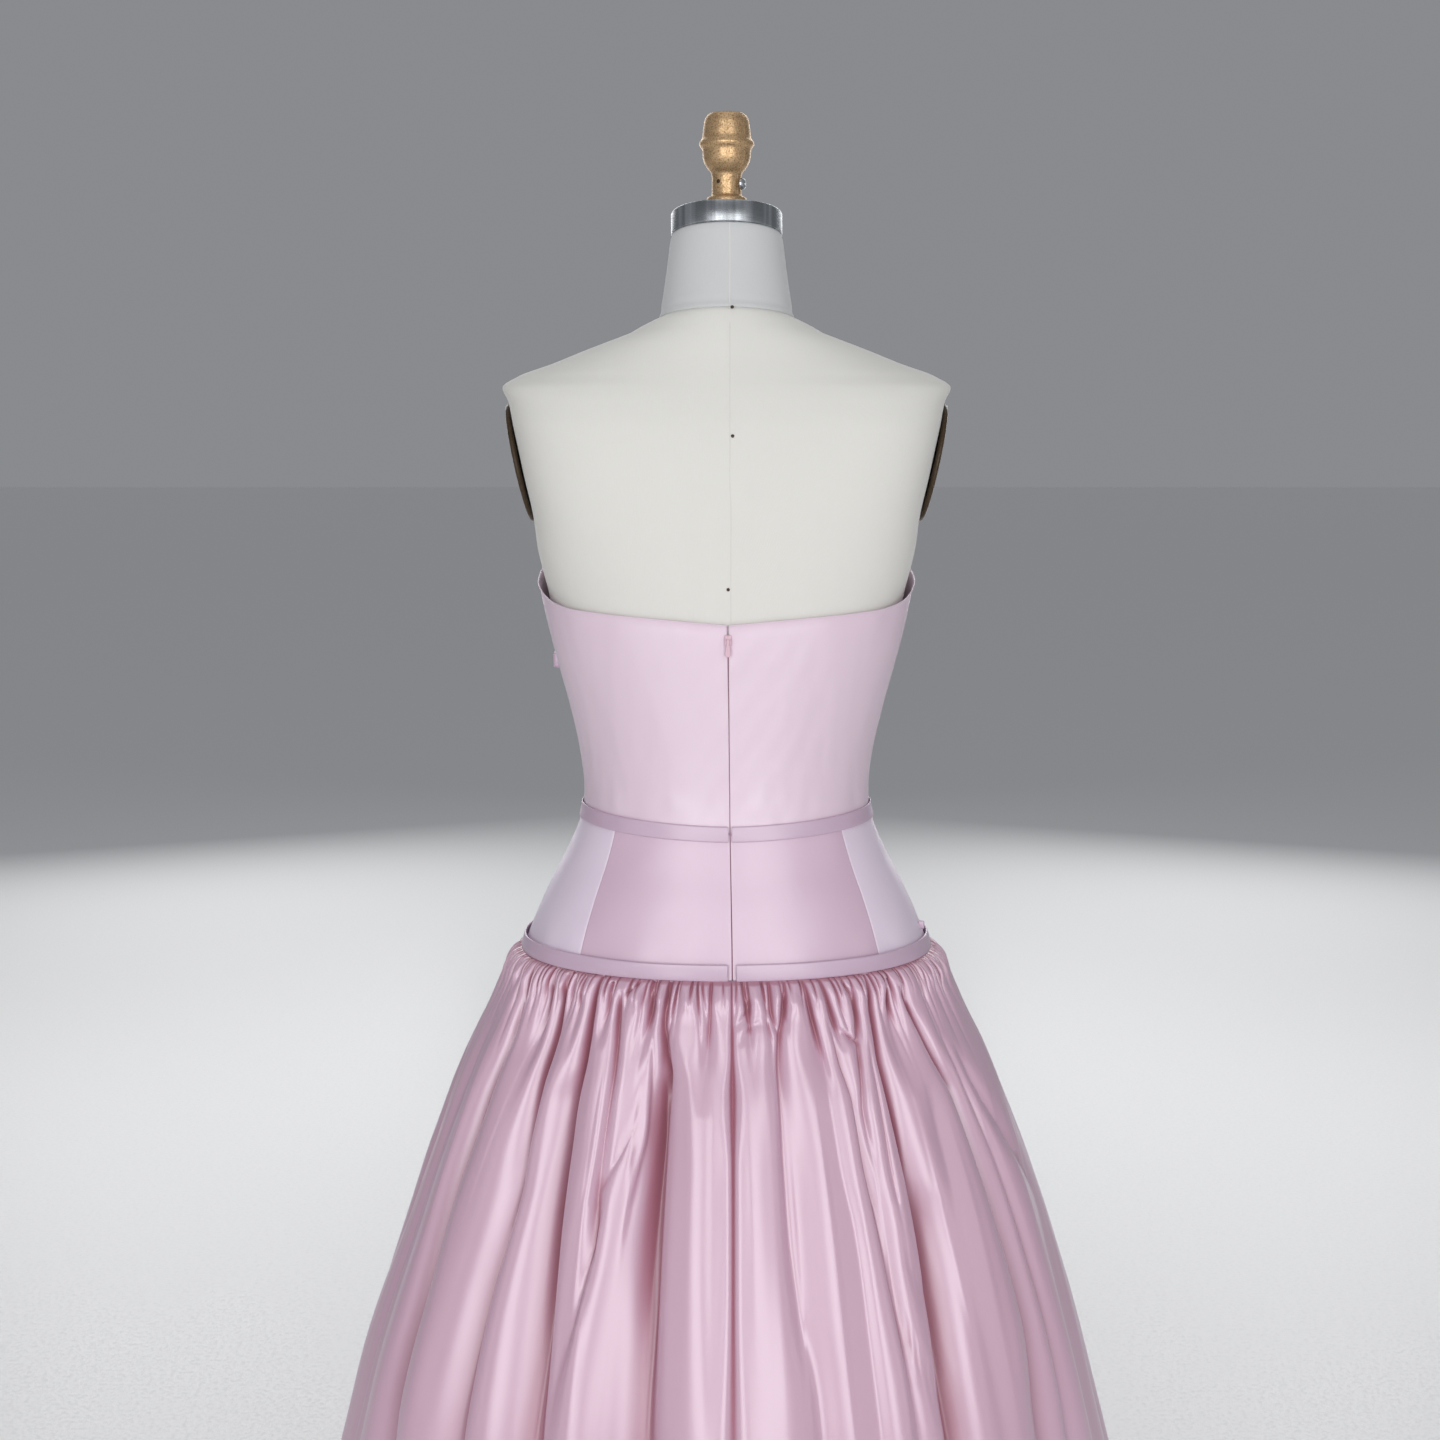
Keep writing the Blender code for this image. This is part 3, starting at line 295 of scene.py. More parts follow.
# A crease runs through rows from low to high: where it lies, how deep it is, and how far its slopes
# reach to the wearer's left and right, in degrees of turn. Turns below 0 are on the wearer's right.
Crease = namedtuple("Crease", "height turn deep left right")
BACK_CREASES = (
    # by the zip
    (
        Crease(HEM, 0.0, 0.011, 3.0, 3.0),
        Crease(0.45, 0.0, 0.006, 1.2, 1.2),
        Crease(0.60, 0.0, 0.004, 0.6, 0.6),
        Crease(0.72, 0.0, 0.0026, 0.28, 0.28),
        Crease(0.80, 0.0, 0.0030, 0.30, 0.30),
        Crease(0.85, 0.0, 0.0055, 0.6, 0.6),
        Crease(0.88, 0.0, 0.0026, 0.30, 0.30),
        Crease(0.93, 0.0, 0.0022, 0.25, 0.25),
    ),
    (
        Crease(0.835, 6.0, 0.0, 1.5, 1.5),
        Crease(0.86, 5.8, 0.0022, 1.4, 1.4),
        Crease(0.885, 5.4, 0.0040, 0.8, 0.8),
        Crease(0.905, 5.2, 0.0035, 0.5, 0.5),
        Crease(0.926, 5.2, 0.0045, 0.4, 0.4),
    ),
    # the deep valley left of the zip, its flat floor and the thin line beside the next crest
    (
        Crease(0.66, 14.0, 0.0, 2.0, 1.5),
        Crease(0.73, 14.2, 0.009, 2.2, 1.5),
        Crease(0.80, 14.2, 0.012, 2.2, 1.5),
        Crease(0.84, 14.6, 0.008, 1.6, 1.2),
        Crease(0.865, 15.2, 0.0, 1.0, 1.0),
    ),
    (
        Crease(HEM, 11.0, 0.041, 5.0, 3.0),
        Crease(0.50, 12.0, 0.030, 5.0, 3.0),
        Crease(0.64, 12.8, 0.022, 5.0, 2.0),
        Crease(0.74, 12.3, 0.021, 5.5, 1.3),
        Crease(0.80, 12.2, 0.021, 5.5, 1.1),
        Crease(0.84, 12.6, 0.018, 4.5, 1.0),
        Crease(0.86, 13.2, 0.014, 3.0, 1.0),
        Crease(0.875, 14.6, 0.010, 1.6, 0.9),
        Crease(0.90, 16.3, 0.006, 0.6, 0.6),
        Crease(0.926, 15.5, 0.004, 0.5, 0.5),
    ),
    (
        Crease(0.735, 19.6, 0.0, 0.8, 2.0),
        Crease(0.785, 18.3, 0.0045, 0.7, 2.2),
        Crease(0.82, 17.4, 0.0050, 0.6, 2.2),
        Crease(0.85, 17.5, 0.0040, 0.6, 1.2),
        Crease(0.873, 17.9, 0.0030, 0.6, 0.8),
        Crease(0.895, 18.5, 0.0, 0.6, 0.6),
    ),
    (
        Crease(HEM, 19.0, 0.025, 5.0, 4.0),
        Crease(0.50, 19.0, 0.014, 4.0, 4.0),
        Crease(0.62, 19.0, 0.008, 3.5, 4.0),
        Crease(0.76, 18.5, 0.0, 3.0, 3.0),
    ),
    (
        Crease(0.82, 21.6, 0.0, 2.0, 2.0),
        Crease(0.86, 21.2, 0.0025, 1.8, 1.8),
        Crease(0.88, 20.6, 0.0035, 1.5, 1.2),
        Crease(0.893, 20.1, 0.0050, 1.0, 0.8),
        Crease(0.905, 19.8, 0.0065, 0.7, 0.6),
        Crease(0.926, 19.9, 0.0045, 0.5, 0.5),
    ),
    # the slanting pucker below the seam
    (
        Crease(0.9145, 26.9, 0.0, 0.5, 0.4),
        Crease(0.9175, 26.0, 0.0030, 0.5, 0.4),
        Crease(0.9215, 24.6, 0.0030, 0.5, 0.4),
        Crease(0.9255, 23.2, 0.0010, 0.5, 0.4),
    ),
    # the thin valley that bends across at mid height, and the fold that crosses it
    (
        Crease(0.40, 28.0, 0.0, 2.0, 2.0),
        Crease(0.60, 27.2, 0.006, 2.0, 1.4),
        Crease(0.66, 26.6, 0.008, 2.5, 0.9),
        Crease(0.72, 25.1, 0.009, 2.3, 0.8),
        Crease(0.745, 24.5, 0.010, 1.8, 0.8),
        Crease(0.765, 25.2, 0.010, 1.2, 1.0),
        Crease(0.785, 25.7, 0.009, 1.0, 1.4),
        Crease(0.82, 25.9, 0.0065, 0.8, 1.0),
        Crease(0.853, 26.1, 0.0055, 0.8, 0.8),
        Crease(0.88, 27.0, 0.0055, 0.7, 0.7),
        Crease(0.90, 28.0, 0.006, 0.6, 0.6),
        Crease(0.918, 28.4, 0.001, 0.5, 0.5),
    ),
    (
        Crease(0.772, 25.6, 0.0, 1.2, 0.8),
        Crease(0.785, 24.3, 0.0045, 1.3, 0.8),
        Crease(0.805, 22.0, 0.0045, 1.5, 0.7),
        Crease(0.825, 20.2, 0.0030, 1.5, 0.7),
        Crease(0.845, 19.4, 0.0, 1.5, 0.7),
    ),
    (
        Crease(0.875, 31.6, 0.0, 1.2, 1.2),
        Crease(0.89, 31.4, 0.0028, 0.9, 0.9),
        Crease(0.905, 31.2, 0.0040, 0.6, 0.6),
        Crease(0.923, 31.6, 0.0035, 0.4, 0.4),
    ),
    # the second deep valley
    (
        Crease(HEM, 30.0, 0.035, 5.0, 5.0),
        Crease(0.50, 30.2, 0.026, 5.0, 4.0),
        Crease(0.62, 30.8, 0.023, 4.5, 2.2),
        Crease(0.70, 31.9, 0.022, 4.0, 1.8),
        Crease(0.76, 32.7, 0.021, 4.0, 1.5),
        Crease(0.80, 33.0, 0.020, 4.0, 1.2),
        Crease(0.83, 33.7, 0.017, 3.5, 1.1),
        Crease(0.86, 34.2, 0.012, 1.6, 0.9),
        Crease(0.88, 35.0, 0.009, 0.9, 0.8),
        Crease(0.90, 35.5, 0.007, 0.6, 0.6),
        Crease(0.926, 35.7, 0.004, 0.5, 0.5),
    ),
    (
        Crease(0.86, 39.0, 0.0, 1.2, 1.2),
        Crease(0.89, 39.6, 0.0025, 1.0, 1.0),
        Crease(0.908, 40.0, 0.0040, 0.6, 0.6),
        Crease(0.924, 40.4, 0.0030, 0.4, 0.4),
    ),
    (
        Crease(0.88, 42.6, 0.0, 0.9, 0.8),
        Crease(0.905, 43.4, 0.0045, 0.7, 0.7),
        Crease(0.924, 43.7, 0.0030, 0.4, 0.4),
    ),
    (
        Crease(HEM, 43.0, 0.030, 5.0, 5.0),
        Crease(0.45, 43.2, 0.022, 5.0, 4.5),
        Crease(0.60, 44.2, 0.017, 3.5, 2.0),
        Crease(0.68, 44.1, 0.015, 2.8, 1.4),
        Crease(0.76, 42.9, 0.013, 2.6, 1.2),
        Crease(0.81, 44.2, 0.013, 2.2, 1.2),
        Crease(0.85, 44.7, 0.013, 1.6, 1.1),
        Crease(0.88, 45.1, 0.010, 1.2, 1.1),
        Crease(0.90, 45.9, 0.008, 1.0, 0.8),
        Crease(0.924, 46.7, 0.003, 0.5, 0.5),
    ),
    (
        Crease(0.79, 50.0, 0.0, 3.0, 3.0),
        Crease(0.85, 50.5, 0.004, 3.0, 2.5),
        Crease(0.88, 50.7, 0.007, 2.2, 1.8),
        Crease(0.90, 51.2, 0.007, 1.4, 1.2),
        Crease(0.925, 52.4, 0.003, 0.6, 0.6),
    ),
    (
        Crease(HEM, 58.0, 0.035, 6.0, 6.0),
        Crease(0.45, 58.8, 0.023, 5.0, 5.0),
        Crease(0.60, 60.2, 0.017, 3.0, 2.0),
        Crease(0.66, 60.2, 0.015, 2.6, 1.5),
        Crease(0.74, 61.0, 0.014, 2.2, 1.3),
        Crease(0.80, 60.6, 0.013, 1.9, 1.3),
        Crease(0.86, 60.6, 0.007, 1.3, 1.2),
        Crease(0.88, 61.0, 0.005, 0.9, 0.9),
        Crease(0.905, 62.0, 0.0, 0.8, 0.8),
    ),
    (
        Crease(HEM, 74.0, 0.025, 6.0, 6.0),
        Crease(0.50, 74.0, 0.016, 5.0, 5.0),
        Crease(0.65, 74.0, 0.011, 4.0, 4.0),
        Crease(0.80, 73.5, 0.006, 3.0, 3.0),
        Crease(0.89, 72.0, 0.0, 1.5, 1.5),
    ),
    # right of the zip: two slits that join and open as one valley
    (
        Crease(0.885, -10.7, 0.0, 0.6, 0.6),
        Crease(0.895, -10.1, 0.004, 0.6, 0.6),
        Crease(0.907, -9.4, 0.005, 0.5, 0.5),
        Crease(0.926, -9.6, 0.004, 0.4, 0.4),
    ),
    (
        Crease(HEM, -14.0, 0.016, 4.0, 5.0),
        Crease(0.50, -13.6, 0.014, 3.0, 4.0),
        Crease(0.64, -12.8, 0.008, 2.0, 3.2),
        Crease(0.70, -10.7, 0.007, 1.6, 3.2),
        Crease(0.76, -9.6, 0.007, 1.3, 3.4),
        Crease(0.80, -9.6, 0.007, 1.2, 3.4),
        Crease(0.83, -9.8, 0.007, 1.1, 2.8),
        Crease(0.86, -10.0, 0.007, 0.9, 1.8),
        Crease(0.885, -10.8, 0.006, 0.7, 0.9),
        Crease(0.90, -12.2, 0.006, 0.6, 0.6),
        Crease(0.926, -13.8, 0.004, 0.5, 0.5),
    ),
    (
        Crease(HEM, -6.5, 0.017, 3.5, 4.0),
        Crease(0.45, -6.5, 0.008, 3.0, 3.0),
        Crease(0.60, -6.0, 0.0, 3.0, 3.0),
    ),
    (
        Crease(0.84, -8.2, 0.0, 0.6, 0.6),
        Crease(0.87, -8.6, 0.0020, 0.7, 0.5),
        Crease(0.885, -9.0, 0.0022, 0.5, 0.4),
        Crease(0.896, -8.4, 0.0024, 0.4, 0.4),
        Crease(0.904, -7.9, 0.0, 0.4, 0.4),
    ),
    # the crumple that slants up from the zip
    (
        Crease(0.893, -0.9, 0.0, 0.5, 0.7),
        Crease(0.900, -2.0, 0.0016, 0.5, 0.9),
        Crease(0.907, -3.7, 0.0020, 0.5, 0.8),
        Crease(0.916, -4.6, 0.0012, 0.4, 0.6),
        Crease(0.923, -5.0, 0.0, 0.4, 0.4),
    ),
    (
        Crease(0.882, -1.6, 0.0, 0.5, 0.8),
        Crease(0.890, -3.0, 0.0012, 0.6, 1.0),
        Crease(0.897, -5.2, 0.0012, 0.6, 1.0),
        Crease(0.902, -6.6, 0.0, 0.5, 0.6),
    ),
    (
        Crease(HEM, -22.0, 0.019, 4.0, 4.0),
        Crease(0.50, -22.0, 0.011, 3.0, 3.0),
        Crease(0.62, -21.8, 0.007, 3.0, 2.0),
        Crease(0.74, -21.6, 0.0045, 2.4, 1.5),
        Crease(0.80, -20.4, 0.0035, 2.0, 1.8),
        Crease(0.84, -20.2, 0.0030, 2.0, 1.8),
        Crease(0.865, -20.6, 0.0045, 2.0, 1.0),
        Crease(0.882, -20.4, 0.0065, 1.5, 0.7),
        Crease(0.895, -19.9, 0.0070, 0.9, 0.6),
        Crease(0.926, -18.6, 0.0040, 0.5, 0.5),
    ),
    (
        Crease(0.873, -25.7, 0.0, 0.8, 0.8),
        Crease(0.885, -25.4, 0.004, 0.8, 0.7),
        Crease(0.895, -24.9, 0.006, 0.6, 0.6),
        Crease(0.926, -23.4, 0.0035, 0.4, 0.4),
    ),
    # the leaf-shaped pucker
    (
        Crease(0.8765, -30.6, 0.0, 0.8, 0.4),
        Crease(0.8800, -29.4, 0.0042, 1.0, 0.4),
        Crease(0.8860, -27.4, 0.0036, 1.0, 0.4),
        Crease(0.8920, -25.7, 0.0, 0.8, 0.4),
    ),
    (
        Crease(HEM, -29.0, 0.028, 4.0, 4.0),
        Crease(0.50, -28.8, 0.014, 3.0, 3.0),
        Crease(0.60, -28.2, 0.0075, 1.4, 2.4),
        Crease(0.66, -27.6, 0.0060, 0.9, 2.2),
        Crease(0.70, -26.8, 0.0060, 0.8, 2.2),
        Crease(0.755, -26.0, 0.0060, 0.7, 2.0),
        Crease(0.80, -25.2, 0.0050, 0.6, 1.5),
        Crease(0.84, -25.3, 0.0040, 0.6, 1.2),
        Crease(0.868, -24.1, 0.0040, 0.5, 1.0),
        Crease(0.885, -23.9, 0.0030, 0.5, 0.8),
        Crease(0.90, -22.8, 0.0, 0.5, 0.5),
    ),
    (
        Crease(0.78, -27.2, 0.0, 0.8, 0.8),
        Crease(0.83, -27.4, 0.0040, 0.7, 0.6),
        Crease(0.853, -28.6, 0.0040, 0.7, 0.6),
        Crease(0.873, -29.7, 0.0040, 0.6, 0.6),
        Crease(0.887, -30.6, 0.0050, 0.6, 0.6),
        Crease(0.90, -31.3, 0.0050, 0.5, 0.5),
        Crease(0.912, -31.1, 0.0040, 0.5, 0.5),
        Crease(0.920, -29.8, 0.0030, 0.4, 0.4),
        Crease(0.926, -29.2, 0.0, 0.4, 0.4),
    ),
    (
        Crease(0.735, -30.9, 0.0, 0.8, 0.5),
        Crease(0.79, -30.8, 0.0035, 0.8, 0.5),
        Crease(0.83, -31.5, 0.0035, 0.7, 0.5),
        Crease(0.86, -32.2, 0.0025, 0.6, 0.5),
        Crease(0.885, -33.0, 0.0, 0.5, 0.5),
    ),
    # two folds that lap over the deep valley on the right
    (
        Crease(0.665, -34.4, 0.0, 1.0, 0.4),
        Crease(0.695, -32.8, 0.0036, 1.0, 0.4),
        Crease(0.72, -31.1, 0.0034, 0.9, 0.4),
        Crease(0.75, -30.0, 0.0, 0.8, 0.4),
    ),
    (
        Crease(0.60, -33.9, 0.0, 1.2, 0.4),
        Crease(0.612, -33.0, 0.0032, 1.2, 0.4),
        Crease(0.637, -31.3, 0.0044, 1.1, 0.4),
        Crease(0.66, -29.4, 0.0036, 1.0, 0.4),
        Crease(0.69, -27.3, 0.0, 0.8, 0.4),
    ),
    (
        Crease(HEM, -35.5, 0.022, 4.0, 4.0),
        Crease(0.50, -35.0, 0.020, 2.8, 3.0),
        Crease(0.64, -34.6, 0.020, 1.6, 2.6),
        Crease(0.70, -35.0, 0.021, 1.5, 3.0),
        Crease(0.74, -35.0, 0.020, 1.4, 3.2),
        Crease(0.78, -34.6, 0.013, 1.1, 2.4),
        Crease(0.82, -34.4, 0.010, 0.9, 1.6),
        Crease(0.86, -34.6, 0.008, 0.8, 1.1),
        Crease(0.88, -35.4, 0.007, 0.7, 0.8),
        Crease(0.90, -36.2, 0.006, 0.6, 0.6),
        Crease(0.926, -38.0, 0.004, 0.5, 0.5),
    ),
    (
        Crease(0.835, -41.0, 0.0, 2.0, 2.0),
        Crease(0.87, -41.2, 0.004, 1.8, 1.8),
        Crease(0.885, -41.8, 0.006, 1.6, 1.6),
        Crease(0.90, -42.6, 0.006, 1.1, 1.1),
        Crease(0.920, -44.0, 0.002, 0.6, 0.6),
    ),
    (
        Crease(HEM, -44.5, 0.016, 5.0, 5.0),
        Crease(0.60, -44.0, 0.006, 4.0, 4.0),
        Crease(0.74, -43.5, 0.003, 3.0, 3.0),
        Crease(0.80, -44.5, 0.003, 2.6, 2.6),
        Crease(0.85, -46.0, 0.0, 2.4, 2.4),
    ),
    (
        Crease(HEM, -54.0, 0.026, 5.0, 5.0),
        Crease(0.56, -54.6, 0.016, 3.0, 3.0),
        Crease(0.66, -55.0, 0.012, 1.2, 2.4),
        Crease(0.78, -54.0, 0.010, 1.0, 2.2),
        Crease(0.83, -53.0, 0.009, 0.8, 1.8),
        Crease(0.858, -50.8, 0.007, 0.7, 1.2),
        Crease(0.885, -49.4, 0.005, 0.6, 0.7),
        Crease(0.905, -48.0, 0.003, 0.6, 0.5),
        Crease(0.918, -46.5, 0.0, 0.5, 0.5),
    ),
    (
        Crease(HEM, -62.0, 0.027, 5.0, 5.0),
        Crease(0.45, -62.0, 0.017, 4.0, 4.0),
        Crease(0.60, -62.3, 0.009, 1.6, 2.2),
        Crease(0.68, -61.5, 0.007, 0.8, 1.5),
        Crease(0.78, -60.3, 0.005, 0.7, 1.1),
        Crease(0.84, -58.0, 0.003, 0.6, 0.8),
        Crease(0.875, -56.2, 0.0, 0.6, 0.6),
    ),
    (
        Crease(0.71, -79.0, 0.0, 2.0, 2.0),
        Crease(0.75, -74.0, 0.004, 2.0, 2.0),
        Crease(0.79, -68.0, 0.005, 1.8, 1.8),
        Crease(0.83, -63.0, 0.004, 1.4, 1.4),
        Crease(0.865, -60.0, 0.0, 1.2, 1.2),
    ),
    (
        Crease(HEM, -75.0, 0.025, 6.0, 6.0),
        Crease(0.50, -75.0, 0.014, 5.0, 5.0),
        Crease(0.68, -75.0, 0.007, 4.0, 4.0),
        Crease(0.82, -76.0, 0.0, 3.0, 3.0),
    ),
)

# The valleys of the skirt's hidden front, from the wearer's left side seam round to the right one.
Valley = namedtuple("Valley", "turn deep left right")
FRONT_VALLEYS = (
    Valley(90.0, 0.028, 4.5, 5.0),
    Valley(104.0, 0.022, 3.5, 5.5),
    Valley(114.0, 0.017, 4.0, 2.5),
    Valley(129.0, 0.031, 5.5, 3.0),
    Valley(141.0, 0.020, 2.5, 5.0),
    Valley(150.0, 0.014, 3.5, 3.5),
    Valley(164.0, 0.030, 3.0, 5.5),
    Valley(177.0, 0.018, 5.0, 3.0),
    Valley(188.0, 0.026, 3.0, 4.5),
    Valley(204.0, 0.032, 5.5, 3.5),
    Valley(214.0, 0.015, 3.0, 3.0),
    Valley(227.0, 0.024, 3.0, 5.0),
    Valley(242.0, 0.030, 5.5, 3.5),
    Valley(254.0, 0.018, 3.5, 4.0),
    Valley(270.0, 0.024, 5.0, 4.5),
)

TurnedPoint = namedtuple("TurnedPoint", "radius height")
FINIAL_PROFILE = (
    TurnedPoint(0.0000, 1.5883),
    TurnedPoint(0.0060, 1.5883),
    TurnedPoint(0.0105, 1.5880),
    TurnedPoint(0.0134, 1.5873),
    TurnedPoint(0.0152, 1.5858),
    TurnedPoint(0.0166, 1.5838),
    TurnedPoint(0.0175, 1.5810),
    TurnedPoint(0.0184, 1.5745),
    TurnedPoint(0.0190, 1.5690),
    TurnedPoint(0.0199, 1.5672),
    TurnedPoint(0.0212, 1.5660),
    TurnedPoint(0.0217, 1.5640),
    TurnedPoint(0.0206, 1.5620),
    TurnedPoint(0.0192, 1.5604),
    TurnedPoint(0.0188, 1.5580),
    TurnedPoint(0.0187, 1.5540),
    TurnedPoint(0.0180, 1.5512),
    TurnedPoint(0.0169, 1.5488),
    TurnedPoint(0.0143, 1.5448),
    TurnedPoint(0.0126, 1.5430),
    TurnedPoint(0.0117, 1.5412),
    TurnedPoint(COLLAR_RADIUS, 1.5390),
    TurnedPoint(COLLAR_RADIUS, 1.5262),
    TurnedPoint(0.0121, 1.5248),
    TurnedPoint(0.0148, 1.5240),
    TurnedPoint(0.0156, 1.5228),
    TurnedPoint(0.0156, 1.5040),
)

# Stage
FLOOR_HALF = 40.0
SKY_COLOR = (0.93, 0.95, 1.0, 1.0)
SKY_STRENGTH = 0.27
CAMERA_SIDE = 0.0052
LAMP_TALLNESS = 1.9
LAMP_TARGET = Vector((0.0, 0.0, 1.0))
Lamp = namedtuple("Lamp", "name turn distance height size power share")
LAMPS = (
    Lamp("key_left", 18.5, 2.6, 1.50, 1.15, "key_power", 1.0),
    Lamp("key_right", -18.5, 2.6, 1.50, 1.15, "key_power", 1.0),
    Lamp("side_left", 62.0, 2.4, 1.25, 0.8, "key_power", 0.08),
    Lamp("side_right", -62.0, 2.4, 1.25, 0.8, "key_power", 0.08),
    Lamp("fill_left", 160.0, 4.4, 2.3, 1.8, "fill_power", 1.0),
    Lamp("fill_right", -160.0, 4.4, 2.3, 1.8, "fill_power", 1.0),
    Lamp("top", 0.0, 0.2, 3.2, 1.6, "fill_power", 0.15),
)


# Shapes worked out with arrays


def curve_through(rows, name, at, by="height"):
    """One column of a table at places between its rows, on a monotone cubic curve."""
    places = np.array([getattr(row, by) for row in rows])
    values = np.array([getattr(row, name) for row in rows])
    at = np.clip(at, places[0], places[-1])
    spans = np.diff(places)
    rises = np.diff(values) / spans
    product = rises[:-1] * rises[1:]
    total = rises[:-1] + rises[1:]
    same_way = product > 0.0
    middle = np.where(same_way, 2.0 * product / np.where(same_way, total, 1.0), 0.0)
    slopes = np.concatenate([rises[:1], middle, rises[-1:]])
    index = np.clip(np.searchsorted(places, at, side="right") - 1, 0, len(spans) - 1)
    span = spans[index]
    share = (at - places[index]) / span
    return (
        (1.0 + 2.0 * share) * (1.0 - share) ** 2 * values[index]
        + share * share * (3.0 - 2.0 * share) * values[index + 1]
        + share * (1.0 - share) ** 2 * span * slopes[index]
        + share * share * (share - 1.0) * span * slopes[index + 1]
    )


def ease_between(low, high, value):
    """0 below low, 1 above high, and a smooth step between."""
    share = np.clip((value - low) / (high - low), 0.0, 1.0)
    return share * share * (3.0 - 2.0 * share)


def signed_power(value, power):
    return np.sign(value) * np.abs(value) ** power


def soft_hump(value, middle, wide):
    """A bell curve: 1 at its middle."""
    return np.exp(-(((value - middle) / wide) ** 2))


def zip_lean(height):
    return curve_through(ZIP_LEAN, "degrees", height)


def ring_points(half_width, back, front, squareness, turn, outward, slide):
    """Points on oval rings, moved outward and sideways along them: x and y."""
    angle = np.radians(turn)
    across = signed_power(np.sin(angle), 2.0 / squareness)
    along = signed_power(np.cos(angle), 2.0 / squareness)
    depth = np.where(along > 0.0, back, front)
    normal_x = signed_power(across, squareness - 1.0) / half_width
    normal_y = signed_power(along, squareness - 1.0) / depth
    length = np.hypot(normal_x, normal_y)
    normal_x, normal_y = normal_x / length, normal_y / length
    x = half_width * across + outward * normal_x + slide * normal_y
    y = depth * along + outward * normal_y - slide * normal_x
    return x, y


def bust_swell(turn, height):
    from_front = np.abs(180.0 - np.mod(turn, 360.0))
    across = (from_front - (180.0 - BUST_TURN)) / BUST_WIDE
    up = (height - BUST_HEIGHT) / BUST_TALL
    return BUST_SWELL * np.exp(-across * across - up * up)


def body_points(turn, height, outward=0.0, slide=0.0):
    """Points at heights on the form, moved outward from its surface."""
    turn, height, outward, slide = np.broadcast_arrays(turn, height, outward, slide)
    half_width, back, front, squareness = (
        curve_through(FORM_SECTIONS, name, height)
        for name in ("half_width", "back", "front", "squareness")
    )
    leaning_turn = turn - zip_lean(height)
    out = outward + bust_swell(leaning_turn, height)
    x, y = ring_points(half_width, back, front, squareness, leaning_turn, out, slide)
    tilt = math.tan(NECK_TILT) * ease_between(TILT_START, NECK_SEAT.z, height)
    return np.stack([x, y, height + tilt * (y - NECK_SEAT.y)], axis=-1)


def waves(first, second, seed, count, first_span, second_span):
    """A soft uneven surface from seeded sine waves, from about -1 to 1."""
    draw = np.random.default_rng(seed)
    total = np.zeros(np.broadcast(first, second).shape)
    for _ in range(count):
        rate_first = 2.0 * math.pi / (first_span * draw.uniform(0.6, 1.8)) * draw.choice((-1.0, 1.0))
        rate_second = 2.0 * math.pi / (second_span * draw.uniform(0.6, 1.8))
        total = total + np.sin(rate_first * first + rate_second * second + draw.uniform(0.0, 6.3))
    return total / math.sqrt(2.0 * count)


# Meshes


def add_piece(name, mesh, material, body=DRESS_BODY, nodes=()):
    """A mesh as a named piece that rides on a body and stands for solids."""
    mesh.shade_smooth()
    mesh.materials.append(material)
    piece = bpy.data.objects.new(name, mesh)
    bpy.context.scene.collection.objects.link(piece)
    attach(piece, body)
    if nodes:
        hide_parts(*nodes)
    return piece


def mesh_of(name, points, corners, corner_map=None, fold_map=None):
    """A mesh of four-sided faces, with its cloth's own lengths as a UV map in metres."""
    mesh = bpy.data.meshes.new(name)
    mesh.from_pydata(points.reshape(-1, 3).tolist(), [], corners.tolist())
    if corner_map is not None:
        layer = mesh.uv_layers.new(name=CLOTH_MAP)
        layer.uv.foreach_set("vector", corner_map.astype(np.float32).ravel())
    if fold_map is not None:
        layer = mesh.uv_layers.new(name=FOLD_MAP)
        layer.uv.foreach_set("vector", fold_map.astype(np.float32).ravel())
    mesh.validate()
    mesh.update()
    return mesh


def numbered(rows, columns):
    """The numbers of a grid's points, row by row."""
    return np.arange(rows * columns).reshape(rows, columns)


def grid_corners(index):
    return np.stack(
        [index[:-1, :-1], index[1:, :-1], index[1:, 1:], index[:-1, 1:]], axis=-1
    ).reshape(-1, 4)


def corner_values(values):
    """Pairs of values at a grid's points, listed for each corner of its faces."""
    return values.reshape(-1, 2)[grid_corners(numbered(*values.shape[:2]))].reshape(-1, 2)


def grid_mesh(name, points, lengths=None, wrap=False, shade=None):
    """A sheet through rows of points, low to high, facing out. wrap joins each row's two ends."""
    rows, columns = points.shape[:2]
    index = numbered(rows, columns)
    if wrap:
        index = np.hstack([index, index[:, :1]])
    if lengths is None:
        across = np.linspace(0.0, 1.0, index.shape[1])
        lengths = np.stack(np.meshgrid(across, np.linspace(0.0, 1.0, rows)), axis=-1)
    if shade is not None:
        shade = corner_values(np.stack([shade, shade], axis=-1))
    return mesh_of(name, points, grid_corners(index), corner_values(lengths), shade)


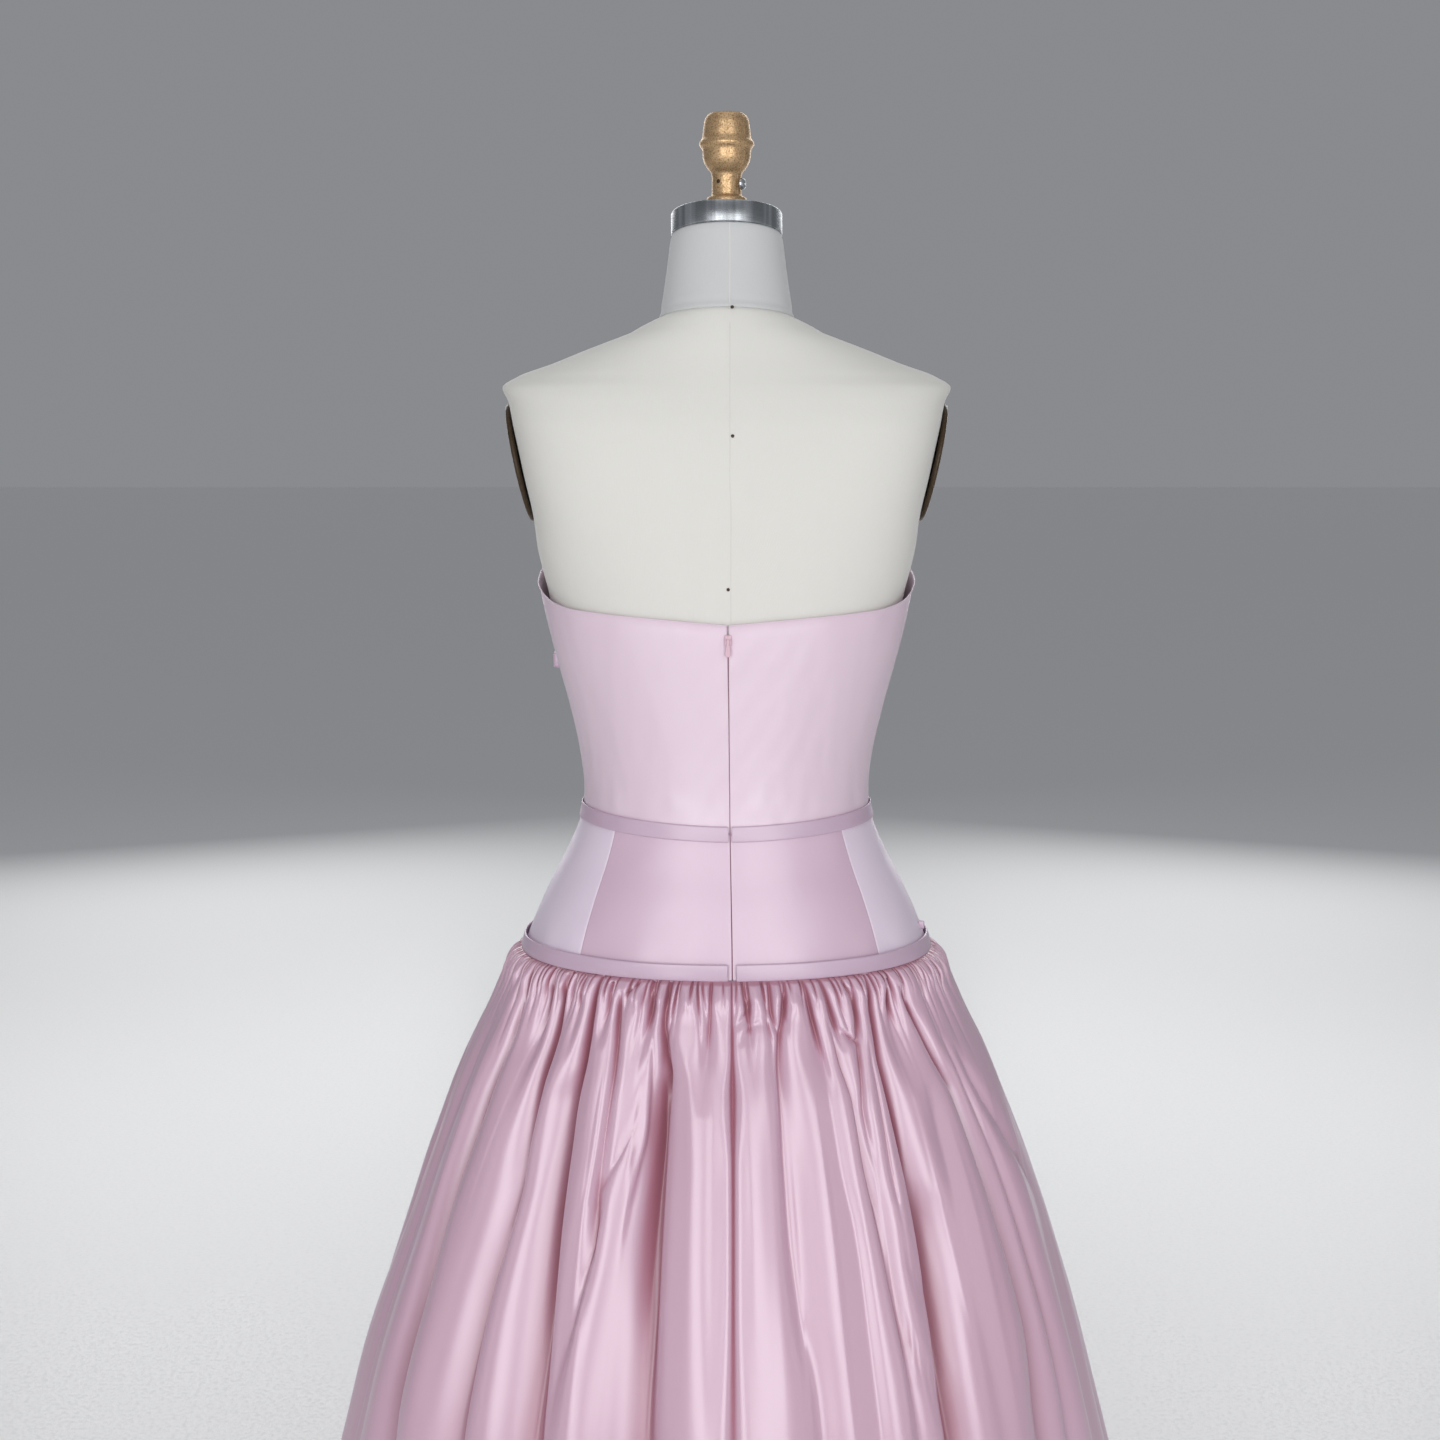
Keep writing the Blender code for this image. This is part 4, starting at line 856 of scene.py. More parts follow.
def shell_mesh(name, outer, inner, lengths):
    """A thin closed wall between two sheets of points: the rows go up outside and down inside."""
    loop = np.concatenate([outer, inner[::-1]], axis=0)
    index = numbered(*loop.shape[:2])
    corners = [grid_corners(np.vstack([index, index[:1]]))]
    corner_map = [corner_values(np.concatenate([lengths, lengths[::-1], lengths[:1]], axis=0))]
    half = outer.shape[0]
    for column, flip in ((0, False), (-1, True)):
        low_out, high_out = index[: half - 1, column], index[1:half, column]
        low_in, high_in = index[::-1, column][: half - 1], index[::-1, column][1:half]
        order = (low_out, high_out, high_in, low_in) if flip else (low_out, low_in, high_in, high_out)
        corners.append(np.stack(order, axis=-1))
        corner_map.append(np.repeat(lengths[: half - 1, column], 4, axis=0))
    return mesh_of(name, loop, np.vstack(corners), np.concatenate(corner_map, axis=0))


def add_faces(mesh, loops, recalculate=False):
    """Closes each loop of points with one flat face."""
    work = bmesh.new()
    work.from_mesh(mesh)
    work.verts.ensure_lookup_table()
    for loop in loops:
        work.faces.new([work.verts[i] for i in loop])
    if recalculate:
        bmesh.ops.recalc_face_normals(work, faces=work.faces)
    work.to_mesh(mesh)
    work.free()


def close_ends(mesh, rows, steps):
    """Closes the lowest and the highest ring of a wrapped grid."""
    add_faces(mesh, (range(steps), reversed(range((rows - 1) * steps, rows * steps))))


def turned_mesh(name, profile, steps, matrix=None, wobble=None):
    """A profile of radius and height, low to high, turned round Z, with both its ends closed."""
    radius = np.array([point.radius for point in profile])
    height = np.array([point.height for point in profile])
    turn = np.linspace(0.0, 2.0 * math.pi, steps, endpoint=False)
    ring = radius[:, None] + np.zeros((1, steps))
    if wobble is not None:
        ring = ring + wobble(turn[None, :])
    ring = np.where(radius[:, None] > 1e-6, ring, PINPOINT)
    points = np.stack(
        [ring * np.sin(turn), ring * np.cos(turn), np.broadcast_to(height[:, None], ring.shape)],
        axis=-1,
    )
    if matrix is not None:
        turned = np.array(matrix)
        points = points @ turned[:3, :3].T + turned[:3, 3]
    lengths = np.stack(
        np.meshgrid(np.linspace(0.0, 2.0 * math.pi * radius.max(), steps + 1), height), axis=-1
    )
    mesh = grid_mesh(name, points, lengths, wrap=True)
    close_ends(mesh, len(profile), steps)
    return mesh


def refined(profile, spacing):
    """A profile with its straight runs cut into short ones, with corners kept."""
    points = [profile[0]]
    for low, high in zip(profile, profile[1:]):
        cuts = max(1, round(math.hypot(high.radius - low.radius, high.height - low.height) / spacing))
        for i in range(1, cuts + 1):
            share = i / cuts
            points.append(TurnedPoint(
                low.radius + (high.radius - low.radius) * share,
                low.height + (high.height - low.height) * share,
            ))
    return points


def smooth_profile(profile, spacing=0.0006):
    """A turned profile rounded by averaging its short runs."""
    points = refined(profile, spacing)
    radius = np.array([point.radius for point in points])
    height = np.array([point.height for point in points])
    for _ in range(3):
        radius[1:-1] = 0.25 * radius[:-2] + 0.5 * radius[1:-1] + 0.25 * radius[2:]
        height[1:-1] = 0.25 * height[:-2] + 0.5 * height[1:-1] + 0.25 * height[2:]
    return [TurnedPoint(*pair) for pair in zip(radius, height)]


def arc_lengths(points, axis=1):
    """How far each point lies along its row, or along its column with axis 0."""
    steps = np.linalg.norm(np.diff(points, axis=axis), axis=-1)
    start = np.zeros_like(steps.take([0], axis=axis))
    return np.concatenate([start, np.cumsum(steps, axis=axis)], axis=axis)


def seam_spread(count, near=(0.002, 0.005, 0.010, 0.020, 0.045)):
    """Shares across a panel from 0 to 1, closer together by its two seams."""
    middle = np.linspace(near[-1], 1.0 - near[-1], count)[1:-1]
    return np.concatenate([[0.0], near, middle, 1.0 - np.array(near[::-1]), [1.0]])


# Materials


SURFACE_OUTPUTS = (
    ("Color", "NodeSocketColor"),
    ("Roughness", "NodeSocketFloat"),
    ("Height", "NodeSocketFloat"),
)


def new_group(name, inputs, outputs=SURFACE_OUTPUTS):
    tree = bpy.data.node_groups.new(name, "ShaderNodeTree")
    for label, kind, value in inputs:
        socket = tree.interface.new_socket(label, in_out="INPUT", socket_type=kind)
        socket.default_value = value
    for label, kind in outputs:
        tree.interface.new_socket(label, in_out="OUTPUT", socket_type=kind)
    return tree, tree.nodes.new("NodeGroupInput").outputs, tree.nodes.new("NodeGroupOutput").inputs


def set_socket(tree, socket, value):
    """Links a socket to another one, or gives it a fixed value."""
    if isinstance(value, bpy.types.NodeSocket):
        tree.links.new(value, socket)
    else:
        socket.default_value = value


def math_node(tree, operation, *values):
    node = tree.nodes.new("ShaderNodeMath")
    node.operation = operation
    for socket, value in zip(node.inputs, values):
        set_socket(tree, socket, value)
    return node.outputs[0]


def weighted_sum(tree, total, *parts):
    """A start value, with each socket added to it by its weight."""
    for socket, weight in parts:
        total = math_node(tree, "MULTIPLY_ADD", socket, weight, total)
    return total


def clamped(tree, value):
    node = tree.nodes.new("ShaderNodeClamp")
    tree.links.new(value, node.inputs["Value"])
    return node.outputs[0]


def mix_color(tree, factor, first, second):
    node = tree.nodes.new("ShaderNodeMix")
    node.data_type = "RGBA"
    for name, value in (("Factor_Float", factor), ("A_Color", first), ("B_Color", second)):
        set_socket(tree, next(item for item in node.inputs if item.identifier == name), value)
    return next(item for item in node.outputs if item.identifier == "Result_Color")


def noise_node(tree, vector, scale, stretch=(1.0, 1.0, 1.0), detail=3.0, roughness=0.5):
    mapping = tree.nodes.new("ShaderNodeMapping")
    set_socket(tree, mapping.inputs["Scale"], stretch)
    tree.links.new(vector, mapping.inputs["Vector"])
    noise = tree.nodes.new("ShaderNodeTexNoise")
    for name, value in (
        ("Vector", mapping.outputs[0]), ("Scale", scale), ("Detail", detail), ("Roughness", roughness)
    ):
        set_socket(tree, noise.inputs[name], value)
    return noise.outputs["Fac"]


def map_vector(tree, name=CLOTH_MAP):
    node = tree.nodes.new("ShaderNodeUVMap")
    node.uv_map = name
    return node.outputs["UV"]


def split_vector(tree, vector):
    node = tree.nodes.new("ShaderNodeSeparateXYZ")
    tree.links.new(vector, node.inputs[0])
    return node.outputs["X"], node.outputs["Y"]


def object_vector(tree):
    return tree.nodes.new("ShaderNodeTexCoord").outputs["Object"]


def finish_group(tree, start, end, fleck, roughness, height):
    """Gives a group its outputs. fleck is how far its colour goes towards the shade."""
    tree.links.new(mix_color(tree, fleck, start["Color"], start["Shade"]), end["Color"])
    tree.links.new(roughness, end["Roughness"])
    tree.links.new(height, end["Height"])
    return tree


def satin_weave_group():
    """Long warp floats along the cloth, with slight slubs and a soft uneven tone."""
    tree, start, end = new_group("satin_weave", (
        ("Color", "NodeSocketColor", (0.8, 0.6, 0.65, 1.0)),
        ("Shade", "NodeSocketColor", (0.7, 0.45, 0.52, 1.0)),
        ("Thread Width", "NodeSocketFloat", 0.0003),
        ("Dullness", "NodeSocketFloat", 0.42),
    ))
    cloth = map_vector(tree)
    rate = math_node(tree, "DIVIDE", 1.0, start["Thread Width"])
    floats = noise_node(tree, cloth, rate, stretch=(1.0, 0.03, 1.0), detail=2.0)
    slubs = noise_node(tree, cloth, rate, stretch=(0.10, 0.55, 1.0), detail=2.0)
    streaks = noise_node(tree, cloth, 240.0, stretch=(1.0, 0.02, 1.0))
    tone = noise_node(tree, object_vector(tree), 9.0, stretch=(1.0, 1.0, 0.6))
    return finish_group(
        tree, start, end,
        fleck=weighted_sum(tree, -0.20, (floats, 0.30), (streaks, 0.20), (tone, 0.50)),
        roughness=weighted_sum(tree, start["Dullness"], (streaks, 0.04)),
        height=weighted_sum(tree, floats, (slubs, 0.35)),
    )


def plain_weave_group():
    """Warp and weft threads that cross over and under each other."""
    tree, start, end = new_group("plain_weave", (
        ("Color", "NodeSocketColor", (0.8, 0.8, 0.75, 1.0)),
        ("Shade", "NodeSocketColor", (0.6, 0.58, 0.52, 1.0)),
        ("Thread Width", "NodeSocketFloat", 0.0006),
    ))
    cloth = map_vector(tree)
    rate = math_node(tree, "DIVIDE", math.pi, start["Thread Width"])
    weft, warp = (
        math_node(tree, "SINE", math_node(tree, "MULTIPLY", side, rate))
        for side in split_vector(tree, cloth)
    )
    slubs = noise_node(tree, cloth, 900.0, stretch=(1.0, 0.15, 1.0), detail=2.0)
    cloud = noise_node(
        tree, object_vector(tree), 7.0, stretch=(1.0, 1.0, 0.45), detail=4.0, roughness=0.6)
    return finish_group(
        tree, start, end,
        fleck=weighted_sum(tree, -0.25, (slubs, 0.30), (cloud, 0.55)),
        roughness=weighted_sum(tree, 0.80, (slubs, 0.10)),
        height=weighted_sum(tree, slubs, (math_node(tree, "MULTIPLY", weft, warp), 0.5)),
    )


def brushed_metal_group():
    """Fine brush lines with a slow drift of tone, for turned and drawn metal, and painted bright and
    dark reflection bands round a ring.
    """
    tree, start, end = new_group("brushed_metal", (
        ("Color", "NodeSocketColor", (0.6, 0.6, 0.6, 1.0)),
        ("Shade", "NodeSocketColor", (0.4, 0.4, 0.4, 1.0)),
        ("Along", "NodeSocketVector", (1.0, 1.0, 40.0)),
        ("Streaks", "NodeSocketFloat", 0.0),
    ))
    lines = noise_node(tree, object_vector(tree), 90.0, stretch=start["Along"], detail=4.0)
    drift = noise_node(tree, object_vector(tree), 30.0)
    # painted bright and dark reflection bands running round the ring
    bands = noise_node(tree, map_vector(tree), 75.0, stretch=(1.0, 0.0, 0.0), roughness=0.6)
    bands = clamped(tree, weighted_sum(tree, -2.9, (bands, 7.0)))
    fleck = weighted_sum(tree, -0.3, (lines, 0.6), (drift, 0.6), (bands, start["Streaks"]))
    return finish_group(tree, start, end, fleck, weighted_sum(tree, 0.16, (lines, 0.22)), lines)


def hammered_enamel_group():
    """Hammered enamel on a casting: small dimples with darker flecks in them."""
    tree, start, end = new_group("hammered_enamel", (
        ("Color", "NodeSocketColor", (0.5, 0.35, 0.2, 1.0)),
        ("Shade", "NodeSocketColor", (0.2, 0.12, 0.06, 1.0)),
        ("Dimple Size", "NodeSocketFloat", 0.0012),
        ("Dullness", "NodeSocketFloat", 0.30),
    ))
    rate = math_node(tree, "DIVIDE", 1.0, start["Dimple Size"])
    cells = tree.nodes.new("ShaderNodeTexVoronoi")
    cells.feature = "SMOOTH_F1"
    tree.links.new(object_vector(tree), cells.inputs["Vector"])
    tree.links.new(rate, cells.inputs["Scale"])
    grain = noise_node(tree, object_vector(tree), rate, stretch=(1.6, 1.6, 1.6), roughness=0.6)
    fleck = clamped(tree, math_node(tree, "MULTIPLY", math_node(tree, "SUBTRACT", grain, 0.46), 5.0))
    return finish_group(
        tree, start, end, fleck,
        roughness=weighted_sum(tree, start["Dullness"], (fleck, 0.20)),
        height=weighted_sum(tree, cells.outputs["Distance"], (grain, 0.6)),
    )


def painted_fold_shade_group():
    """Painted shade deep in a fold, standing in for satin's own colour thrown back and forth where no
    light glances off it: the colour goes to the fold colour and the gloss drops.
    """
    tree, start, end = new_group(
        "fold_tone",
        (
            ("Color", "NodeSocketColor", (0.8, 0.6, 0.65, 1.0)),
            ("Fold Color", "NodeSocketColor", (0.4, 0.1, 0.15, 1.0)),
            ("Gloss", "NodeSocketFloat", 1.0),
        ),
        (("Color", "NodeSocketColor"), ("Gloss", "NodeSocketFloat")),
    )
    deep, _ = split_vector(tree, map_vector(tree, FOLD_MAP))
    tree.links.new(mix_color(tree, deep, start["Color"], start["Fold Color"]), end["Color"])
    open_part = math_node(tree, "SUBTRACT", 1.0, deep)
    tree.links.new(math_node(tree, "MULTIPLY", open_part, start["Gloss"]), end["Gloss"])
    return tree


GROUP_MAKERS = {
    "fold_tone": painted_fold_shade_group,
    "satin_weave": satin_weave_group,
    "plain_weave": plain_weave_group,
    "brushed_metal": brushed_metal_group,
    "hammered_enamel": hammered_enamel_group,
}


def effect_group(name):
    return bpy.data.node_groups.get(name) or GROUP_MAKERS[name]()


def tinted(color, tint):
    """A colour times another one, or times one number."""
    return tuple(float(value) for value in np.array(color) * np.array(tint))


def finish_material(name, effect, color, shade, bump, depth, effect_values=(), shader_values=()):
    """A Principled material whose colour, roughness and relief come from one of the groups."""
    found = bpy.data.materials.get(name)
    if found is not None:
        return found
    material = bpy.data.materials.new(name)
    material.use_nodes = True
    tree = material.node_tree
    shader = tree.nodes["Principled BSDF"]
    group = tree.nodes.new("ShaderNodeGroup")
    group.node_tree = effect_group(effect)
    for label, value in (("Color", (*color, 1.0)), ("Shade", (*shade, 1.0))) + effect_values:
        group.inputs[label].default_value = value
    tree.links.new(group.outputs["Color"], shader.inputs["Base Color"])
    tree.links.new(group.outputs["Roughness"], shader.inputs["Roughness"])
    relief = tree.nodes.new("ShaderNodeBump")
    relief.inputs["Strength"].default_value = bump
    relief.inputs["Distance"].default_value = depth
    tree.links.new(group.outputs["Height"], relief.inputs["Height"])
    tree.links.new(relief.outputs["Normal"], shader.inputs["Normal"])
    for label, value in shader_values:
        shader.inputs[label].default_value = value
    material.diffuse_color = (*color, 1.0)
    return material


SATIN_SHADER = (
    ("Specular IOR Level", 1.0),
    ("Specular Tint", (0.93, 0.94, 1.0, 1.0)),
    ("Anisotropic", 0.30),
    ("Coat Weight", 0.85),
    ("Coat Roughness", 0.40),
    ("Coat IOR", 2.0),
    ("Coat Tint", (0.99, 0.97, 1.0, 1.0)),
    ("Sheen Weight", 0.12),
    ("Sheen Roughness", 0.40),
    ("Sheen Tint", (0.82, 0.82, 1.0, 1.0)),
)
FOLDED_GLOSS = 0.64
FOLDED_COAT_ROUGHNESS = 0.30


def satin(settings, name, color, dullness=0.44, bump=0.10):
    return finish_material(
        name, "satin_weave", color, tinted(color, settings.satin_shade), bump, depth=0.0002,
        effect_values=(("Thread Width", 0.0003), ("Dullness", dullness)), shader_values=SATIN_SHADER,
    )


def folded_satin(settings):
    """The skirt's satin, with painted shade in its folds: a darker colour and less coat gloss."""
    found = bpy.data.materials.get("folded_satin")
    if found is not None:
        return found
    material = satin(settings, "folded_satin", settings.satin_color, dullness=0.31, bump=0.04)
    tree = material.node_tree
    shader = tree.nodes["Principled BSDF"]
    tone = tree.nodes.new("ShaderNodeGroup")
    tone.node_tree = effect_group("fold_tone")
    tone.inputs["Fold Color"].default_value = (*settings.painted_fold_shade_color, 1.0)
    tone.inputs["Gloss"].default_value = FOLDED_GLOSS
    shader.inputs["Coat Roughness"].default_value = FOLDED_COAT_ROUGHNESS
    tree.links.new(shader.inputs["Base Color"].links[0].from_socket, tone.inputs["Color"])
    tree.links.new(tone.outputs["Color"], shader.inputs["Base Color"])
    tree.links.new(tone.outputs["Gloss"], shader.inputs["Coat Weight"])
    return material


def cotton(settings, name, color):
    return finish_material(
        name, "plain_weave", color, tinted(color, settings.cover_shade), bump=0.25, depth=0.0002,
        effect_values=(("Thread Width", 0.0006),),
        shader_values=(("Sheen Weight", 0.15), ("Sheen Roughness", 0.5)),
    )


def steel(settings, name="turned_steel", streaks=0.0, keep=0.72):
    """Brushed steel. streaks adds painted bright and dark reflection bands round a turned ring."""
    color = settings.steel_color
    return finish_material(
        name, "brushed_metal", color, tinted(color, keep), bump=0.10, depth=0.0001,
        effect_values=(("Along", (1.0, 1.0, 30.0)), ("Streaks", streaks)),
        shader_values=(("Metallic", 1.0), ("Anisotropic", 0.7)),
    )


def enamel(name, color, shade, bump, depth, dimple, dullness=0.30, shader_values=()):
    """Enamel or paint with soft dimples. shade is their colour, or the share of color they keep."""
    if isinstance(shade, float):
        shade = tinted(color, shade)
    return finish_material(
        name, "hammered_enamel", color, shade, bump, depth,
        effect_values=(("Dimple Size", dimple), ("Dullness", dullness)), shader_values=shader_values,
    )


def gold(settings):
    return enamel("gold_enamel", settings.gold_color, settings.gold_shade, bump=0.32, depth=0.0003,
                  dimple=0.0015, dullness=0.36, shader_values=(("Metallic", 0.80),))


def board(settings):
    return enamel("stained_board", settings.board_color, 0.6, bump=0.15, depth=0.0002,
                  dimple=0.0030, shader_values=(("Specular IOR Level", 0.3),))


def iron(settings):
    return enamel("iron_enamel", settings.iron_color, 0.7, bump=0.20, depth=0.0003,
                  dimple=0.0025, shader_values=(("Metallic", 0.6),))


def pink_metal(settings):
    return enamel("zip_enamel", settings.zip_color, 0.9, bump=0.03, depth=0.0001,
                  dimple=0.0008, shader_values=(("Coat Weight", 0.4),))


def floor_paint(settings):
    return enamel("floor_paint", settings.floor_color, 0.97, bump=0.02, depth=0.0005, dimple=0.01)


# Bodice, yoke and bands


def waist_rise(turn):
    return WAIST_RISE * np.abs(np.sin(np.radians(turn))) ** WAIST_RISE_POWER


def bodice_top(turn):
    folded = 180.0 - np.abs(180.0 - np.mod(turn, 360.0))
    return curve_through(BODICE_TOP, "height", folded, by="turn")


def bodice_outward(turn, height):
    at_side = np.sin(np.radians(turn)) ** TOP_STAND_OFF_POWER
    near_top = ease_between(bodice_top(turn) - TOP_STAND_OFF_REACH, bodice_top(turn), height)
    at_front = np.maximum(0.0, -np.cos(np.radians(turn)))
    over_bust = BUST_EASE * at_front * ease_between(BUST_EASE_START, BUST_EASE_FULL, height)
    return EASE + CLOTH_WALL + TOP_STAND_OFF * at_side * near_top + over_bust


def back_princess(height):
    share = (height - YOKE_LOW) / (WAIST_SEAM - YOKE_LOW)
    return BACK_PRINCESS_LOW_TURN + (BACK_PRINCESS_HIGH_TURN - BACK_PRINCESS_LOW_TURN) * share


def signed_turn(turn):
    """A turn from -180 to 180: positive on the wearer's left."""
    return np.mod(np.asarray(turn) + 180.0, 360.0) - 180.0


def bodice_pulls(turn, height):
    """Slight pulls and softness of the taut satin, outward in metres."""
    side = signed_turn(turn)
    across = np.radians(side) * 0.12
    soft = 0.00022 * waves(across, height, seed=11, count=7, first_span=0.055, second_span=0.12)
    soft = soft + 0.00010 * waves(
        across, height, seed=12, count=6, first_span=0.020, second_span=0.09)
    by_zip = np.exp(-np.abs(across) / 0.030)
    pulls = 0.00022 * by_zip * np.sin((height - 1.05) * 2.0 * math.pi / 0.034 + 9.0 * across / 0.03)
    bulge = 0.0007 * soft_hump(side, -3.2, 1.6) * soft_hump(height, 1.177, 0.013)
    hollow = -0.0005 * soft_hump(side, -6.0, 2.0) * soft_hump(height, 1.170, 0.016)
    near_band = 0.00045 * soft_hump(height, WAIST_SEAM + 0.020, 0.009) * waves(
        across, height, seed=14, count=4, first_span=0.045, second_span=0.2)
    return soft + pulls + bulge + hollow + near_band


def yoke_pulls(turn, height):
    across = np.radians(signed_turn(turn)) * 0.14
    soft = 0.00026 * waves(across, height, seed=21, count=7, first_span=0.060, second_span=0.07)
    by_band = soft_hump(height, YOKE_LOW + 0.014, 0.012)
    return soft + 0.00035 * by_band * waves(
        across, height, seed=22, count=5, first_span=0.050, second_span=0.3)


def seam_dip(share, length, deep=0.0003, wide=0.0007):
    """How far a panel dips where it turns in to its two side seams."""
    from_edge = np.minimum(share, 1.0 - share) * length
    return -deep * np.exp(-((from_edge / wide) ** 2))


def cloth_shell(name, turn, height, outward, material, roll_top=0.0):
    """A panel on the form as a thin shell. Its top edge may be rolled over."""
    outer = body_points(turn, height, outward)
    inner = body_points(turn, height, outward - SHELL)
    if roll_top > 0.0:
        lift = np.array([0.35, 0.75, 1.0, 0.9])[:, None] * roll_top
        out = np.array([0.35, 0.25, -0.25, -0.75])[:, None] * SHELL
        edge_turn, edge_height, edge_out = (
            np.broadcast_to(value, height.shape)[-1:] for value in (turn, height, outward)
        )
        roll = body_points(edge_turn, edge_height + lift, edge_out + out)
        outer = np.concatenate([outer, roll[:2]], axis=0)
        inner = np.concatenate([inner, roll[:1:-1]], axis=0)
    lengths = np.stack([
        arc_lengths(outer),
        np.broadcast_to(outer[:, :, 2] - outer[0, 0, 2], outer.shape[:2]),
    ], axis=-1)
    mesh = shell_mesh(name, outer, inner, lengths)
    return add_piece(name, mesh, material, nodes=(name.replace("satin_", ""),))


def bodice_panel(name, start, end, material, columns=60, rows=64):
    share = seam_spread(columns)[None, :]
    level = np.concatenate([np.linspace(0.0, 0.96, rows), [0.975, 0.988, 1.0]])[:, None]
    turn = start + (end - start) * share
    low = WAIST_SEAM - BODICE_TUCK + waist_rise(turn)
    height = low + (bodice_top(turn) - low) * level
    from_top = bodice_top(turn) - height
    out = bodice_outward(turn, height) - PANEL_SINK + bodice_pulls(turn, height)
    out = out + seam_dip(share, math.radians(abs(end - start)) * PANEL_RADIUS)
    out = out + TOP_FOLD * soft_hump(from_top, 0.0, 0.0016)
    out = out - TOP_STITCH_DIP * soft_hump(from_top, 0.0052, 0.0018)
    turn = np.broadcast_to(turn, height.shape)
    piece = cloth_shell(name, turn, height, out, material, roll_top=TOP_ROLL)
    return piece


def yoke_panel(name, start, end, material, columns=44, rows=40):
    share = seam_spread(columns)[None, :]
    level = np.linspace(0.0, 1.0, rows)[:, None]
    nominal = YOKE_LOW + (WAIST_SEAM - YOKE_LOW) * level
    turn = start(nominal) + (end(nominal) - start(nominal)) * share
    top = WAIST_SEAM + 0.0004 + waist_rise(turn)
    low = SKIRT_TOP - YOKE_TUCK
    height = low + (top - low) * level
    length = math.radians(float(np.mean(np.abs(end(nominal) - start(nominal))))) * PANEL_RADIUS
    out = EASE + CLOTH_WALL - PANEL_SINK + yoke_pulls(turn, height)
    out = out + seam_dip(share, length, deep=0.0002, wide=0.0006)
    piece = cloth_shell(name, turn, height, out, material)
    return piece


def band_turns(opening, count):
    """Turns round a band that is open at centre back, closer together by its two ends."""
    gap = math.degrees(opening / 2.0 / BAND_RADIUS)
    near = np.array([0.0, 0.25, 0.8, 1.8])
    middle = np.linspace(3.5, 356.5, count)
    return np.concatenate([gap + near, middle, 360.0 - gap - near[::-1]])


def band_ring(name, turn, centre_height, centre_out, tall, material, belly):
    """A folded strip all round the body: a flattened loop of cloth in section."""
    around = np.linspace(0.0, 2.0 * math.pi, 25)[:-1]
    up = -np.cos(around)
    across = signed_power(np.sin(around), 0.55)
    side = signed_turn(turn)[None, :]
    height = centre_height(side) + 0.5 * tall * up[:, None]
    out = centre_out(side, up[:, None]) + 0.5 * BAND_WALL * across[:, None]
    out = out + belly * np.maximum(0.0, across[:, None]) * waves(
        np.radians(side) * 0.13, height, seed=31, count=6, first_span=0.070, second_span=0.03)
    points = body_points(turn[None, :], height, out)
    closed = np.concatenate([points, points[:1]], axis=0)
    lengths = np.stack([
        arc_lengths(closed),
        np.broadcast_to(np.linspace(0.0, 2.0 * tall, closed.shape[0])[:, None], closed.shape[:2]),
    ], axis=-1)
    index = numbered(*points.shape[:2])
    corners = grid_corners(np.vstack([index, index[:1]]))
    mesh = mesh_of(name, points, corners, corner_values(lengths))
    add_faces(mesh, (index[:, 0], index[::-1, -1]), recalculate=True)
    piece = add_piece(name, mesh, material, nodes=(name.replace("satin_", ""),))
    return piece


# Skirt


def crease_shape(turn, height, rows):
    """A crease at rows of heights and columns of turns: its depth, and how far its lip leans over.

    The lean is in metres towards higher turns, and it is larger the more uneven the two slopes are.
    """
    path, deep, left, right = (
        curve_through(rows, name, height) for name in ("turn", "deep", "left", "right")
    )
    deep = np.where((height < rows[0].height) | (height > rows[-1].height), 0.0, deep)
    off = signed_turn(turn - path)
    reach = np.abs(off) / np.where(off > 0.0, left, right)
    reach = np.sqrt(reach * reach + 0.015) - 0.12
    near, far = np.exp(-(reach ** 1.35)), np.exp(-((reach / 2.5) ** 2))
    lean = 1.0 - np.minimum(left, right) / np.maximum(left, right)
    steep = np.where(right < left, -1.0, 1.0)
    beyond = off * steep / np.minimum(left, right)
    lap = -steep * LIP_LEAN * lean * deep * np.exp(-(((beyond - 1.5) / 0.95) ** 2))
    return deep * ((1.0 - CREASE_TAIL) * near + CREASE_TAIL * far), lap


def fold_shade(outward, spacing, height):
    """How far the cloth on both sides hides each place: 0 in the open, 1 deep in a tight fold.
    Painted into the skirt's colour as shade.
    """
    hidden = np.zeros(outward.shape)
    for side in (-1, 1):
        steepest = np.zeros(outward.shape)
        for columns in SHADE_COLUMNS:
            padded = np.pad(outward, ((0, 0), (columns, columns)), mode="reflect")
            start = columns + side * columns
            beside = padded[:, start : start + outward.shape[1]]
            steepest = np.maximum(steepest, (beside - outward) / (columns * spacing))
        hidden += np.arctan(steepest)
    start = 0.20 + 0.08 * ease_between(0.60, 0.88, height)
    return SHADE_MOST * ease_between(start, start + SHADE_SPAN, hidden / math.pi)


